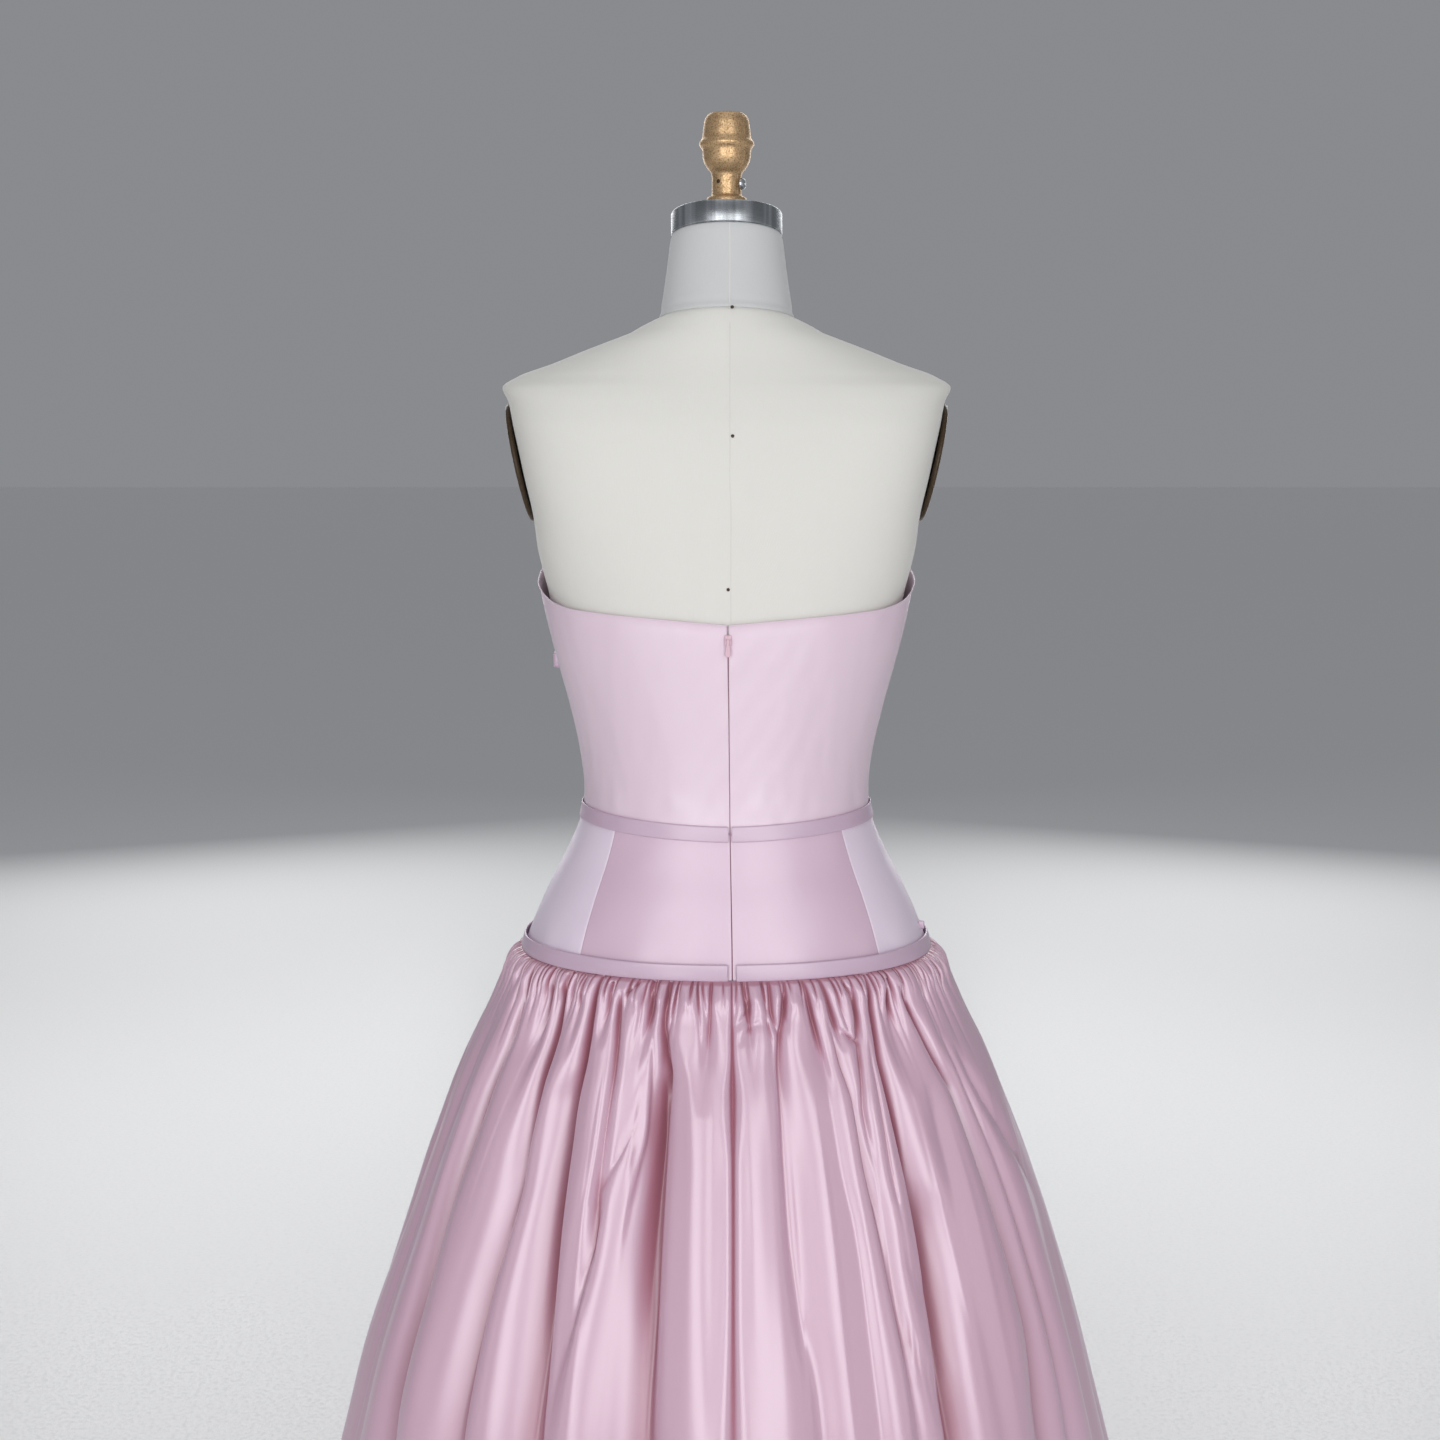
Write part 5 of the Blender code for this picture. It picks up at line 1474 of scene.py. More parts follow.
def hidden_creases():
    """Creases of the front and sides. A valley starts as a slit at the seam, with others by it."""
    draw = np.random.default_rng(5)
    creases = []
    for valley in FRONT_VALLEYS:
        start = valley.turn + draw.uniform(-3.5, 3.5)
        bend = draw.uniform(-1.4, 1.4)
        steep = draw.uniform(0.25, 0.45)
        left, right = valley.left, valley.right
        near_left = left * (steep if left < right else 0.8)
        near_right = right * (steep if right < left else 0.8)
        turn, deep = valley.turn, valley.deep
        creases.append((
            Crease(HEM, turn, 1.25 * deep, left, right),
            Crease(0.30, turn, 1.1 * deep, 0.7 * left + 0.3 * near_left,
                   0.7 * right + 0.3 * near_right),
            Crease(0.50, turn + 0.5 * bend, 0.95 * deep, 0.3 * left + 0.7 * near_left,
                   0.3 * right + 0.7 * near_right),
            Crease(0.64, turn + bend, 0.82 * deep, near_left, near_right),
            Crease(0.76, turn - 0.4 * bend, 0.68 * deep, near_left, near_right),
            Crease(0.84, 0.6 * turn + 0.4 * start, 0.52 * deep, 0.6 * near_left, 0.6 * near_right),
            Crease(0.88, 0.3 * turn + 0.7 * start, 0.008, 0.9, 0.9),
            Crease(0.905, start, 0.006, 0.6, 0.6),
            Crease(SEAM_HEIGHT, start, 0.004, 0.5, 0.5),
        ))
        for side in (-1.0, 1.0):
            beside = start + side * draw.uniform(3.0, 5.5)
            low = draw.uniform(0.66, 0.86)
            creases.append((
                Crease(low, beside + side * draw.uniform(-1.5, 1.0), 0.0, 2.2, 2.2),
                Crease(0.5 * low + 0.45, beside, draw.uniform(0.003, 0.007), 1.3,
                       draw.uniform(0.8, 2.0)),
                Crease(0.906, beside, 0.005, 0.6, 0.6),
                Crease(SEAM_HEIGHT, beside + draw.uniform(-1.0, 1.0), 0.0035, 0.4, 0.4),
            ))
        slant = draw.uniform(-6.0, 6.0)
        low = draw.uniform(0.45, 0.70)
        middle = turn + 0.5 * draw.uniform(6.0, 9.0)
        creases.append((
            Crease(low, middle - slant / 2.0, 0.0, 1.0, 0.5),
            Crease(low + 0.04, middle - slant / 6.0, 0.0035, 1.2, 0.5),
            Crease(low + 0.08, middle + slant / 6.0, 0.0035, 1.2, 0.5),
            Crease(low + 0.12, middle + slant / 2.0, 0.0, 1.0, 0.5),
        ))
    return creases


Slit = namedtuple("Slit", "turn slant deep wide length")


def gather_slits():
    """The short slits between the gathers, round the whole top of the skirt."""
    draw = np.random.default_rng(7)
    steps = draw.uniform(0.35, 1.65, SLIT_COUNT)
    turns = np.cumsum(steps) / steps.sum() * 360.0
    taken = [rows[-1].turn for rows in BACK_CREASES if rows[-1].height > 0.91]
    slits = []
    for turn in turns:
        if min(abs(signed_turn(turn - other)) for other in taken) < 0.6:
            continue
        nearest = min(taken, key=lambda other: abs(signed_turn(turn - other)))
        pull = np.clip(signed_turn(nearest - turn) / 0.05, -55.0, 55.0) * draw.uniform(0.1, 1.0)
        slits.append(Slit(
            turn, pull + draw.uniform(-22.0, 22.0),
            draw.uniform(*SLIT_DEEP), draw.uniform(*SLIT_WIDE),
            SLIT_SHORTEST + SLIT_LONGER * draw.uniform() ** 1.6,
        ))
    return slits


def slit_depth(turn, down, slit):
    """The depth of one slit, which is sharpest at the seam, and opens and fades as it runs down."""
    wide = slit.wide * (1.0 + SLIT_OPENING * down)
    off = np.abs(signed_turn(turn - slit.turn - slit.slant * down)) / wide
    across = np.exp(-((np.sqrt(off * off + 0.03) - 0.17) ** 1.2))
    return slit.deep * across * np.exp(-((np.maximum(down, 0.0) / slit.length) ** 1.5))


SoftRoll = namedtuple("SoftRoll", "turn slant high wide narrow top low")


def soft_rolls():
    """Long faint rolls on the broad faces of the folds, soft on one side and crisp on the other."""
    draw = np.random.default_rng(19)
    rolls = []
    turn = 0.0
    while turn < 360.0:
        turn += draw.uniform(2.6, 6.0)
        wide = draw.uniform(1.2, 2.8)
        rolls.append(SoftRoll(
            turn, draw.uniform(-9.0, 9.0), draw.uniform(-0.0012, 0.0017), wide,
            wide * draw.choice((-1.0, 1.0)) * draw.uniform(0.25, 0.60),
            draw.uniform(0.80, 0.91), draw.uniform(0.45, 0.82),
        ))
    return rolls


def roll_height(turn, height, roll):
    path = roll.turn + roll.slant * (SEAM_HEIGHT - height)
    off = signed_turn(turn - path) * np.sign(roll.narrow)
    across = np.exp(-((off / np.where(off > 0.0, roll.wide, abs(roll.narrow))) ** 2))
    along = ease_between(roll.top + 0.02, roll.top - 0.06, height)
    return roll.high * across * along * ease_between(roll.low - 0.08, roll.low + 0.08, height)


def skirt_points(turn, height):
    """Points on the skirt's outside and their painted fold shade, at a row of turns, a column of
    heights.
    """
    down = SEAM_HEIGHT - height
    total = np.zeros((height.shape[0], turn.shape[1]))
    lap = np.zeros(total.shape)

    def columns_by(middle, reach):
        return np.abs(signed_turn(turn[0] - middle)) < reach

    for rows in BACK_CREASES + tuple(hidden_creases()):
        near = columns_by(rows[len(rows) // 2].turn, CREASE_REACH)
        if near.any():
            deep, lean = crease_shape(turn[:, near], height, rows)
            total[:, near] += deep ** CREASE_MERGE
            lap[:, near] += lean
    dip = total ** (1.0 / CREASE_MERGE) * (CREASE_GAIN + 0.05 * ease_between(0.90, 0.82, height))
    for slit in gather_slits():
        near = columns_by(slit.turn, SLIT_REACH)
        if near.any():
            dip[:, near] += slit_depth(turn[:, near], down, slit)
    for roll in soft_rolls():
        near = columns_by(roll.turn, ROLL_REACH)
        if near.any():
            dip[:, near] -= roll_height(turn[:, near], height, roll)
    dip = dip * (0.25 + 0.75 * ease_between(0.0, SEAM_HOLD, down))
    uneven = 1.0 + 0.9 * waves(turn, down, seed=41, count=8, first_span=4.5, second_span=0.05)
    puff = PUFF_HIGH * uneven * soft_hump(down, PUFF_DOWN, PUFF_TALL)
    for swell in SKIRT_SWELLS:
        high = swell.high + swell.sideways * np.sin(np.radians(turn))
        puff = puff + high * ease_between(swell.start, swell.full, height)
    half_width = curve_through(SKIRT_FLARE, "half_width", height)
    depth = half_width - SKIRT_FLATNESS
    # the fold shade is painted into the satin as a darker colour and less gloss
    shade = fold_shade(-dip, half_width * math.radians(turn[0, 1] - turn[0, 0]), height)
    # painted shade on the top rows, under the hip band
    shade = np.maximum(shade, SEAM_PAINTED_SHADE * ease_between(0.0030, 0.0016, down))
    outward = SKIRT_OUT + puff - dip
    x, y = ring_points(half_width, depth, depth, 2.0, turn - zip_lean(height), outward, lap)
    return np.stack([x, y, np.broadcast_to(height, x.shape)], axis=-1), shade


def skirt_heights():
    high = SEAM_HEIGHT - 0.16 * np.linspace(0.0, 1.0, 100) ** 1.15
    low = np.linspace(high[-1], HEM, 56)[1:]
    return np.concatenate([high, low])[::-1]


def skirt_panel(name, start, end, material, columns):
    turn = np.linspace(start, end, columns)[None, :]
    points, shade = skirt_points(turn, skirt_heights()[:, None])
    hem, _ = skirt_points(turn, HEM + np.array([0.020, 0.010, 0.0012])[:, None])
    inward = hem * (1.0, 1.0, 0.0)
    hem = hem - 0.0014 * inward / np.linalg.norm(inward, axis=-1, keepdims=True)
    shade = np.concatenate([np.zeros((3, columns)), shade], axis=0)
    points = np.concatenate([hem, points], axis=0)
    fall = arc_lengths(points, axis=0)
    lengths = np.stack([np.broadcast_to(arc_lengths(points[3:4]), fall.shape), fall], axis=-1)
    mesh = grid_mesh(name, points, lengths, shade=shade)
    piece = add_piece(name, mesh, material, nodes=(name.replace("satin_", ""),))
    return piece


# Form


def even_ring(height, columns):
    """A ring of the form at a height, its points evenly spaced, from centre back."""
    turn = np.linspace(0.0, 360.0, 2881)
    points = body_points(turn, height)
    run = arc_lengths(points[None])[0]
    places = np.linspace(0.0, run[-1], columns + 1)[:-1]
    return np.stack([np.interp(places, run, points[:, i]) for i in range(3)], axis=-1)


def neck_frame():
    return Matrix.Translation(NECK_SEAT) @ Matrix.Rotation(NECK_TILT, 4, "X")


def neck_rings(along, columns, outward):
    half_width, half_depth = (
        curve_through(NECK_SECTIONS, name, along, by="along")[:, None] + outward
        for name in ("half_width", "half_depth")
    )
    turn = np.linspace(0.0, 360.0, columns, endpoint=False)[None, :]
    x, y = half_width * np.sin(np.radians(turn)), half_depth * np.cos(np.radians(turn))
    points = np.stack([x, y, np.broadcast_to(along[:, None], x.shape)], axis=-1)
    placed = np.array(neck_frame())
    return points @ placed[:3, :3].T + placed[:3, 3]


def ring_lengths(points):
    """How far each point lies round its ring and up its column, with the first column repeated."""
    closed = np.concatenate([points, points[:, :1]], axis=1)
    return np.stack([arc_lengths(closed), arc_lengths(closed, axis=0)], axis=-1)


def form_cover(material):
    columns = 256
    heights = np.concatenate([
        np.linspace(FORM_LOW, 1.18, 60), np.linspace(1.18, 1.36, 46)[1:],
        np.linspace(1.36, FORM_SECTIONS[-1].height, 40)[1:],
    ])
    rings = np.stack([even_ring(height, columns) for height in heights])
    seat = neck_rings(np.array([0.0, 0.0008]), columns, 0.0)
    last = rings[-1]
    blend = [last + (seat[0] - last) * ease for ease in (0.35, 0.7)]
    for i, lift in enumerate((0.0007, 0.0005)):
        blend[i] = blend[i] + np.array([0.0, 0.0, lift])
    rings = np.concatenate([rings, blend, seat[:1] - np.array([0.0, 0.0, 0.0002])], axis=0)
    mesh = grid_mesh("form_cover", rings, ring_lengths(rings), wrap=True)
    close_ends(mesh, rings.shape[0], columns)
    return add_piece("form_cover", mesh, material, nodes=("form_torso",))


def form_neck(material):
    along = np.concatenate([[0.0, 0.0006], np.linspace(0.0012, NECK_LENGTH, 44)])
    welt = 0.0006 * soft_hump(along, 0.0018, 0.0013) - 0.0005 * soft_hump(along, 0.0060, 0.0030)
    points = neck_rings(along, 160, welt[:, None])
    mesh = grid_mesh("neck_cover", points, ring_lengths(points), wrap=True)
    close_ends(mesh, len(along), 160)
    return add_piece("neck_cover", mesh, material, nodes=("form_neck",))


def cover_seam(material):
    """The stitched seam up the middle of the cover's back and neck, a thin line on the cloth."""
    across = np.array([-0.0005, -0.0003, 0.0, 0.0003, 0.0005])[None, :]
    rise = np.array([0.00002, 0.00012, 0.00005, 0.00012, 0.00002])[None, :]
    body = body_points(0.0, np.linspace(1.20, 1.416, 90)[:, None], rise)
    along = np.linspace(0.0006, NECK_LENGTH - 0.0006, 30)
    neck = neck_rings(along, 4, 0.0)[:, :1] + rise[..., None] * (0.0, 1.0, 0.0)
    points = np.concatenate([body, neck], axis=0)
    points = points + across[..., None] * (1.0, 0.0, 0.0) - (0.0022, 0.0, 0.0)
    run = np.stack(np.broadcast_arrays(across + 0.0 * points[..., 2], points[..., 2]), axis=-1)
    return add_piece("cover_seam", grid_mesh("cover_seam", points, run), material)


def cover_pins(material):
    """Three small pin heads pressed into the cover at centre back."""
    places = [neck_frame() @ Vector((-0.004, 0.0524, -0.0008))]
    for turn, height in ((-0.16, 1.3400), (-0.03, 1.2255)):
        places.append(Vector(body_points(np.array(turn), np.array(height), 0.0001)))
    for i, place in enumerate(places):
        profile = [
            TurnedPoint(0.0001, 0.0), TurnedPoint(0.0013, 0.0001),
            TurnedPoint(0.0011, 0.0007), TurnedPoint(0.0001, 0.0009),
        ]
        matrix = Matrix.Translation(place) @ Matrix.Rotation(math.radians(-90.0), 4, "X")
        add_piece(f"cover_pin_{i + 1}", turned_mesh("cover_pin", profile, 24, matrix), material)


def steel_cap(material):
    low = NECK_LENGTH + SEAM_GAP
    high = low + CAP_TALL
    profile = [
        TurnedPoint(0.0380, low + 0.0002),
        TurnedPoint(CAP_RADIUS - 0.0006, low),
        TurnedPoint(CAP_RADIUS - 0.0001, low + 0.0004),
        TurnedPoint(CAP_RADIUS, low + 0.0011),
        TurnedPoint(CAP_RADIUS, high - 0.0016),
        TurnedPoint(CAP_RADIUS - 0.0003, high - 0.0007),
        TurnedPoint(CAP_RADIUS - 0.0010, high - 0.0001),
        TurnedPoint(CAP_RADIUS - 0.0020, high),
        TurnedPoint(0.0020, high),
    ]
    mesh = turned_mesh("steel_cap", profile, 160, neck_frame())
    piece = add_piece("steel_cap", mesh, material, nodes=("neck_cap",))
    mesh.set_sharp_from_angle(angle=math.radians(50.0))
    return piece


def finial_piece(material):
    """The gold casting, with the two fine lines where its mould parted."""
    def casting_line(turn):
        return 0.0004 * sum(soft_hump(turn, math.radians(side), 0.035) for side in (311.0, 131.0))

    profile = smooth_profile(list(reversed(FINIAL_PROFILE)))
    place = Matrix.Translation((0.0, FINIAL_BACK, 0.0))
    mesh = turned_mesh("gold_finial", profile, 144, place, casting_line)
    return add_piece("gold_finial", mesh, material, nodes=("finial",))


def collar_hole(material):
    """A small dark disc on the finial's collar: painted shade for the mouth of its tapped hole."""
    outward = Vector((0.565, 0.825, 0.0))
    place = Vector((0.0, FINIAL_BACK, SCREW_HEIGHT + 0.0018)) + outward * (COLLAR_RADIUS - 0.0001)
    turned = outward.to_track_quat("Z", "Y").to_matrix().to_4x4()
    profile = [
        TurnedPoint(0.0016, -0.0006), TurnedPoint(0.0016, 0.0002), TurnedPoint(0.0001, 0.0002),
    ]
    mesh = turned_mesh("collar_hole", profile, 32, Matrix.Translation(place) @ turned)
    return add_piece("collar_hole", mesh, material)


def screw_piece(material):
    profile = [
        TurnedPoint(0.0010, 0.0000),
        TurnedPoint(0.0020, 0.0000),
        TurnedPoint(0.0020, 0.0014),
        TurnedPoint(0.0044, 0.0015),
        TurnedPoint(0.0046, 0.0018),
        TurnedPoint(0.0046, 0.0026),
        TurnedPoint(0.0040, 0.0034),
        TurnedPoint(0.0030, 0.0041),
        TurnedPoint(0.0020, 0.0044),
        TurnedPoint(0.0017, 0.0044),
        TurnedPoint(0.0015, 0.0036),
        TurnedPoint(0.0002, 0.0035),
    ]
    outward = Vector((math.cos(SCREW_AZIMUTH), math.sin(SCREW_AZIMUTH), 0.0))
    place = Vector((0.0, FINIAL_BACK, SCREW_HEIGHT)) + outward * (COLLAR_RADIUS + SEAM_GAP)
    turned = Matrix.Rotation(SCREW_AZIMUTH, 4, "Z") @ Matrix.Rotation(math.radians(90.0), 4, "Y")
    matrix = Matrix.Translation(place) @ turned
    mesh = turned_mesh("collar_screw", refined(profile, 0.0005), 48, matrix)
    return add_piece("collar_screw", mesh, material, nodes=("set_screw",))


def arm_plate(name, side, material):
    low, high = PLATE_HEIGHT - PLATE_TALL, PLATE_HEIGHT + PLATE_TALL
    flat_low = float(curve_through(FORM_SECTIONS, "half_width", np.array(low)))
    flat_high = float(curve_through(FORM_SECTIONS, "half_width", np.array(high)))
    slope = math.atan2(flat_high - flat_low, high - low)
    inner = (flat_low + flat_high) / 2.0
    middle = inner + (PLATE_THICK / 2.0 + PLATE_CLEARANCE) / math.cos(slope)
    half = PLATE_THICK / 2.0
    profile = [
        TurnedPoint(0.01, -half),
        TurnedPoint(0.95, -half),
        TurnedPoint(0.985, -half + 0.0005),
        TurnedPoint(1.0, -half + 0.0014),
        TurnedPoint(1.0, half - 0.0014),
        TurnedPoint(0.985, half - 0.0005),
        TurnedPoint(0.95, half),
        TurnedPoint(0.01, half),
    ]
    place = Matrix.Translation((side * middle, PLATE_BACK, PLATE_HEIGHT))
    turn = Matrix.Rotation(side * (math.radians(90.0) + slope), 4, "Y")
    size = Matrix.Diagonal((PLATE_TALL / math.cos(slope), PLATE_DEEP, 1.0, 1.0))
    mesh = turned_mesh(name, profile, 96, place @ turn @ size)
    return add_piece(name, mesh, material, nodes=(name.replace("board_", ""),))


def stand_pieces(pole_material, base_material):
    profile = [
        TurnedPoint(0.0, 0.0),
        TurnedPoint(BASE_RADIUS - 0.002, 0.0),
        TurnedPoint(BASE_RADIUS, 0.0015),
        TurnedPoint(BASE_RADIUS, BASE_THICK - 0.006),
        TurnedPoint(BASE_RADIUS - 0.003, BASE_THICK - 0.003),
        TurnedPoint(BASE_RADIUS - 0.012, BASE_THICK),
        TurnedPoint(HUB_RADIUS + 0.010, BASE_THICK + BASE_RISE - 0.0005),
        TurnedPoint(HUB_RADIUS + 0.003, BASE_THICK + BASE_RISE + 0.001),
        TurnedPoint(HUB_RADIUS, BASE_THICK + BASE_RISE + 0.005),
        TurnedPoint(HUB_RADIUS, HUB_HEIGHT - 0.003),
        TurnedPoint(HUB_RADIUS - 0.003, HUB_HEIGHT),
        TurnedPoint(0.0, HUB_HEIGHT),
    ]
    mesh = turned_mesh("iron_base", profile, 160)
    base = add_piece("iron_base", mesh, base_material, nodes=("base",))
    mesh.set_sharp_from_angle(angle=math.radians(40.0))
    rod = [
        TurnedPoint(0.002, HUB_HEIGHT + SEAM_GAP),
        TurnedPoint(POLE_RADIUS, HUB_HEIGHT + SEAM_GAP),
        TurnedPoint(POLE_RADIUS, FORM_LOW - SEAM_GAP),
        TurnedPoint(0.002, FORM_LOW - SEAM_GAP),
    ]
    mesh = turned_mesh("steel_pole", refined(rod, 0.02), 64)
    pole = add_piece("steel_pole", mesh, pole_material, nodes=("pole",))
    mesh.set_sharp_from_angle(angle=math.radians(40.0))
    return base, pole


# Zip and trim


def zip_face(height, outward=EASE + CLOTH_WALL):
    return Vector(body_points(np.array(0.0), np.array(height), outward))


def zip_coil(material):
    """The zip's coil and tapes between the panels' folded edges, coloured dark for the tape and for
    painted shade in the gap.
    """
    rows = 260
    level = np.linspace(0.0, 1.0, rows)[:, None]
    height = SEAM_HEIGHT + (SLIDER_HEIGHT + 0.002 - SEAM_HEIGHT) * level
    across = np.linspace(-0.5, 0.5, 7)[None, :]
    ridge = 0.0004 * np.exp(-((across / 0.3) ** 2)) * (0.7 + 0.3 * np.sin(level * rows * 0.9))
    points = body_points(across, height, EASE + 0.0002 + ridge)
    lengths = np.stack([np.broadcast_to(across * 0.002, ridge.shape),
                        np.broadcast_to(height, ridge.shape)], axis=-1)
    return add_piece("zip_coil", grid_mesh("zip_coil", points, lengths), material)


def pull_pivot():
    face = zip_face(SLIDER_HEIGHT + SLIDER_TALL / 2.0)
    out = SEAM_GAP + SLIDER_THICK + PIVOT_ABOVE_SLIDER
    return Vector((face.x, face.y + out, SLIDER_HEIGHT + PIVOT_ABOVE_MIDDLE))


def pull_tab(material):
    """A teardrop tab with rounded edges, narrow at its pivot."""
    pivot = pull_pivot()
    levels = np.linspace(0.0, 1.0, 40)
    along = 0.0006 - PULL_LONG * levels
    half = PULL_WIDE / 2.0
    wide = PULL_NECK + (half - PULL_NECK) * ease_between(0.22, 0.80, levels)
    from_tip = PULL_LONG * (1.0 - levels)
    tip = np.sqrt(np.clip(1.0 - ((half - from_tip) / half) ** 2, 0.0004, 1.0))
    wide = np.where(from_tip < half, wide * tip, wide)
    start = np.sqrt(np.clip(1.0 - (1.0 - levels / 0.05) ** 2, 0.04, 1.0))
    wide = np.where(levels < 0.05, wide * start, wide)
    around = np.linspace(0.0, 2.0 * math.pi, 24, endpoint=False)
    thick = PULL_THICK / 2.0 * np.minimum(1.0, wide / 0.0007)
    x = pivot.x + wide[:, None] * signed_power(np.sin(around), 0.6)[None, :]
    y = pivot.y + thick[:, None] * signed_power(np.cos(around), 0.6)[None, :]
    z = np.broadcast_to(pivot.z + along[:, None], x.shape)
    points = np.stack([x, y, z], axis=-1)[::-1]
    mesh = grid_mesh("pull_tab", points, None, wrap=True)
    close_ends(mesh, points.shape[0], 24)
    return add_piece(
        "pull_tab", mesh, material, body=PULL_BODY, nodes=("zip_pull",))


def rounded_boxes(name, boxes, material, node):
    """Boxes of a middle, a size and the width of their soft edges, as one piece."""
    work = bmesh.new()
    for middle, size, edge in boxes:
        made = bmesh.ops.create_cube(
            work, size=1.0, matrix=Matrix.Translation(middle) @ Matrix.Diagonal((*size, 1.0)))
        work.edges.index_update()
        lines = {line for vert in made["verts"] for line in vert.link_edges}
        lines = sorted(lines, key=lambda line: line.index)
        bmesh.ops.bevel(work, geom=lines, offset=edge, segments=3, profile=0.5, affect="EDGES")
    mesh = bpy.data.meshes.new(name)
    work.to_mesh(mesh)
    work.free()
    return add_piece(name, mesh, material, nodes=(node,))


def slider_piece(material):
    """The slider's body with its two cheeks, in one casting."""
    face = zip_face(SLIDER_HEIGHT + SLIDER_TALL / 2.0)
    middle = face + Vector((0.0, SEAM_GAP + SLIDER_THICK / 2.0, -SLIDER_TALL / 2.0))
    pivot = pull_pivot()
    boxes = [(middle, (SLIDER_WIDE, SLIDER_THICK, SLIDER_TALL), 0.0004)]
    for side in (-1.0, 1.0):
        place = Vector((pivot.x + side * CHEEK_OUT, middle.y + CHEEK_UP, pivot.z))
        boxes.append((place, CHEEK_SIZE, 0.00025))
    return rounded_boxes("slider_body", boxes, material, "zip_slider")


# Settings


def color_property(name, description, default):
    return bpy.props.FloatVectorProperty(
        name=name, description=description, subtype="COLOR", size=3, min=0.0, max=1.0, default=default
    )


class EveningDressSettings(bpy.types.PropertyGroup):
    satin_color: color_property("Satin", "Colour of the skirt's satin", (0.68, 0.445, 0.555))
    satin_shade: color_property("Satin shade", "Tint of the satin's darker threads",
                                (0.92, 0.84, 0.88))
    # painted shade: the colour the skirt's satin takes deep in its folds
    painted_fold_shade_color: color_property("Fold", "Colour deep in the skirt's folds", (0.40, 0.14, 0.19))
    # The bodice, yoke and side colours are tones of one satin, set for the light each panel gets:
    # painted light and shade.
    bodice_lit_color: color_property("Bodice satin", "Colour of the bodice", (0.84, 0.675, 0.765))
    yoke_lit_color: color_property("Yoke satin", "Colour of the yoke's back and front",
                               (0.71, 0.515, 0.63))
    side_lit_color: color_property("Side satin", "Colour of the yoke's side panels", (0.90, 0.79, 0.90))
    band_color: color_property("Band satin", "Colour of the two bands", (0.62, 0.45, 0.57))
    # partly the tape's colour, partly painted shade in the centre-back gap
    tape_and_shade_color: color_property("Zip tape", "Colour of the zip's coil and tapes", (0.26, 0.10, 0.15))
    zip_color: color_property("Zip", "Colour of the slider and its tab", (0.76, 0.50, 0.59))


class DressFormSettings(bpy.types.PropertyGroup):
    cover_color: color_property("Cover", "Colour of the cotton cover", (0.79, 0.78, 0.735))
    cover_shade: color_property("Cover shade", "Tint of the cover's darker threads",
                                (0.88, 0.87, 0.86))
    # painted shade: the cover's cotton, greyer and darker on the neck for the light it gets
    neck_shaded_color: color_property("Neck", "Colour of the cover on the neck", (0.64, 0.65, 0.655))
    seam_color: color_property("Cover seam", "Colour of the cover's centre seam",
                               (0.75, 0.735, 0.695))
    steel_color: color_property("Steel", "Colour of the cap, screw and pole", (0.60, 0.63, 0.66))
    gold_color: color_property("Gold", "Colour of the finial", (0.72, 0.49, 0.27))
    gold_shade: color_property("Gold flecks", "Colour of the flecks in the finial",
                               (0.26, 0.15, 0.07))
    board_color: color_property("Arm plates", "Colour of the arm plates", (0.060, 0.036, 0.017))
    iron_color: color_property("Base", "Colour of the base's enamel", (0.06, 0.06, 0.065))


class StageSettings(bpy.types.PropertyGroup):
    floor_color: color_property("Floor", "Colour of the floor", (0.90, 0.90, 0.90))
    key_power: bpy.props.FloatProperty(
        name="Key light", description="Power of each light on the camera's side", unit="POWER",
        default=21.5, min=0.0,
    )
    fill_power: bpy.props.FloatProperty(
        name="Fill light", description="Power of each light on the far side", unit="POWER",
        default=44.0, min=0.0,
    )
    camera_height: bpy.props.FloatProperty(
        name="Camera height", description="Height of the camera above the floor", unit="LENGTH",
        default=1.351, min=0.0,
    )
    camera_distance: bpy.props.FloatProperty(
        name="Camera distance", description="Distance of the camera behind the dress", unit="LENGTH",
        default=1.605, min=0.1,
    )
    camera_pitch: bpy.props.FloatProperty(
        name="Camera pitch", description="How far the camera looks down", subtype="ANGLE",
        default=math.radians(8.5),
    )


# Operators


class BuildFormCover(bpy.types.Operator):
    """Build the cotton cover of the dress form's torso and neck"""

    bl_idname = "evening_dress.form_cover"
    bl_label = "Form Cover"

    def execute(self, context):
        settings = context.scene.dress_form
        form_cover(cotton(settings, "woven_cotton", settings.cover_color))
        # the neck's cotton is a greyer copy of the cover: painted shade
        form_neck(cotton(settings, "neck_cotton", settings.neck_shaded_color))
        cover_seam(cotton(settings, "seam_cotton", settings.seam_color))
        return {"FINISHED"}


class BuildFormFittings(bpy.types.Operator):
    """Build the steel cap, the gold finial with its screw and the two arm plates"""

    bl_idname = "evening_dress.form_fittings"
    bl_label = "Form Fittings"

    def execute(self, context):
        settings = context.scene.dress_form
        # the cap gets painted reflection bands and a darker shade colour
        steel_cap(steel(settings, "cap_steel", 0.8, 0.50))
        cover_pins(board(settings))
        finial_piece(gold(settings))
        screw_piece(steel(settings))
        # dark disc as painted shade in the collar's tapped hole
        collar_hole(board(settings))
        arm_plate("board_arm_plate_left", 1.0, board(settings))
        arm_plate("board_arm_plate_right", -1.0, board(settings))
        return {"FINISHED"}


class BuildStand(bpy.types.Operator):
    """Build the pole and the round base"""

    bl_idname = "evening_dress.stand"
    bl_label = "Stand"

    def execute(self, context):
        settings = context.scene.dress_form
        stand_pieces(steel(settings), iron(settings))
        return {"FINISHED"}


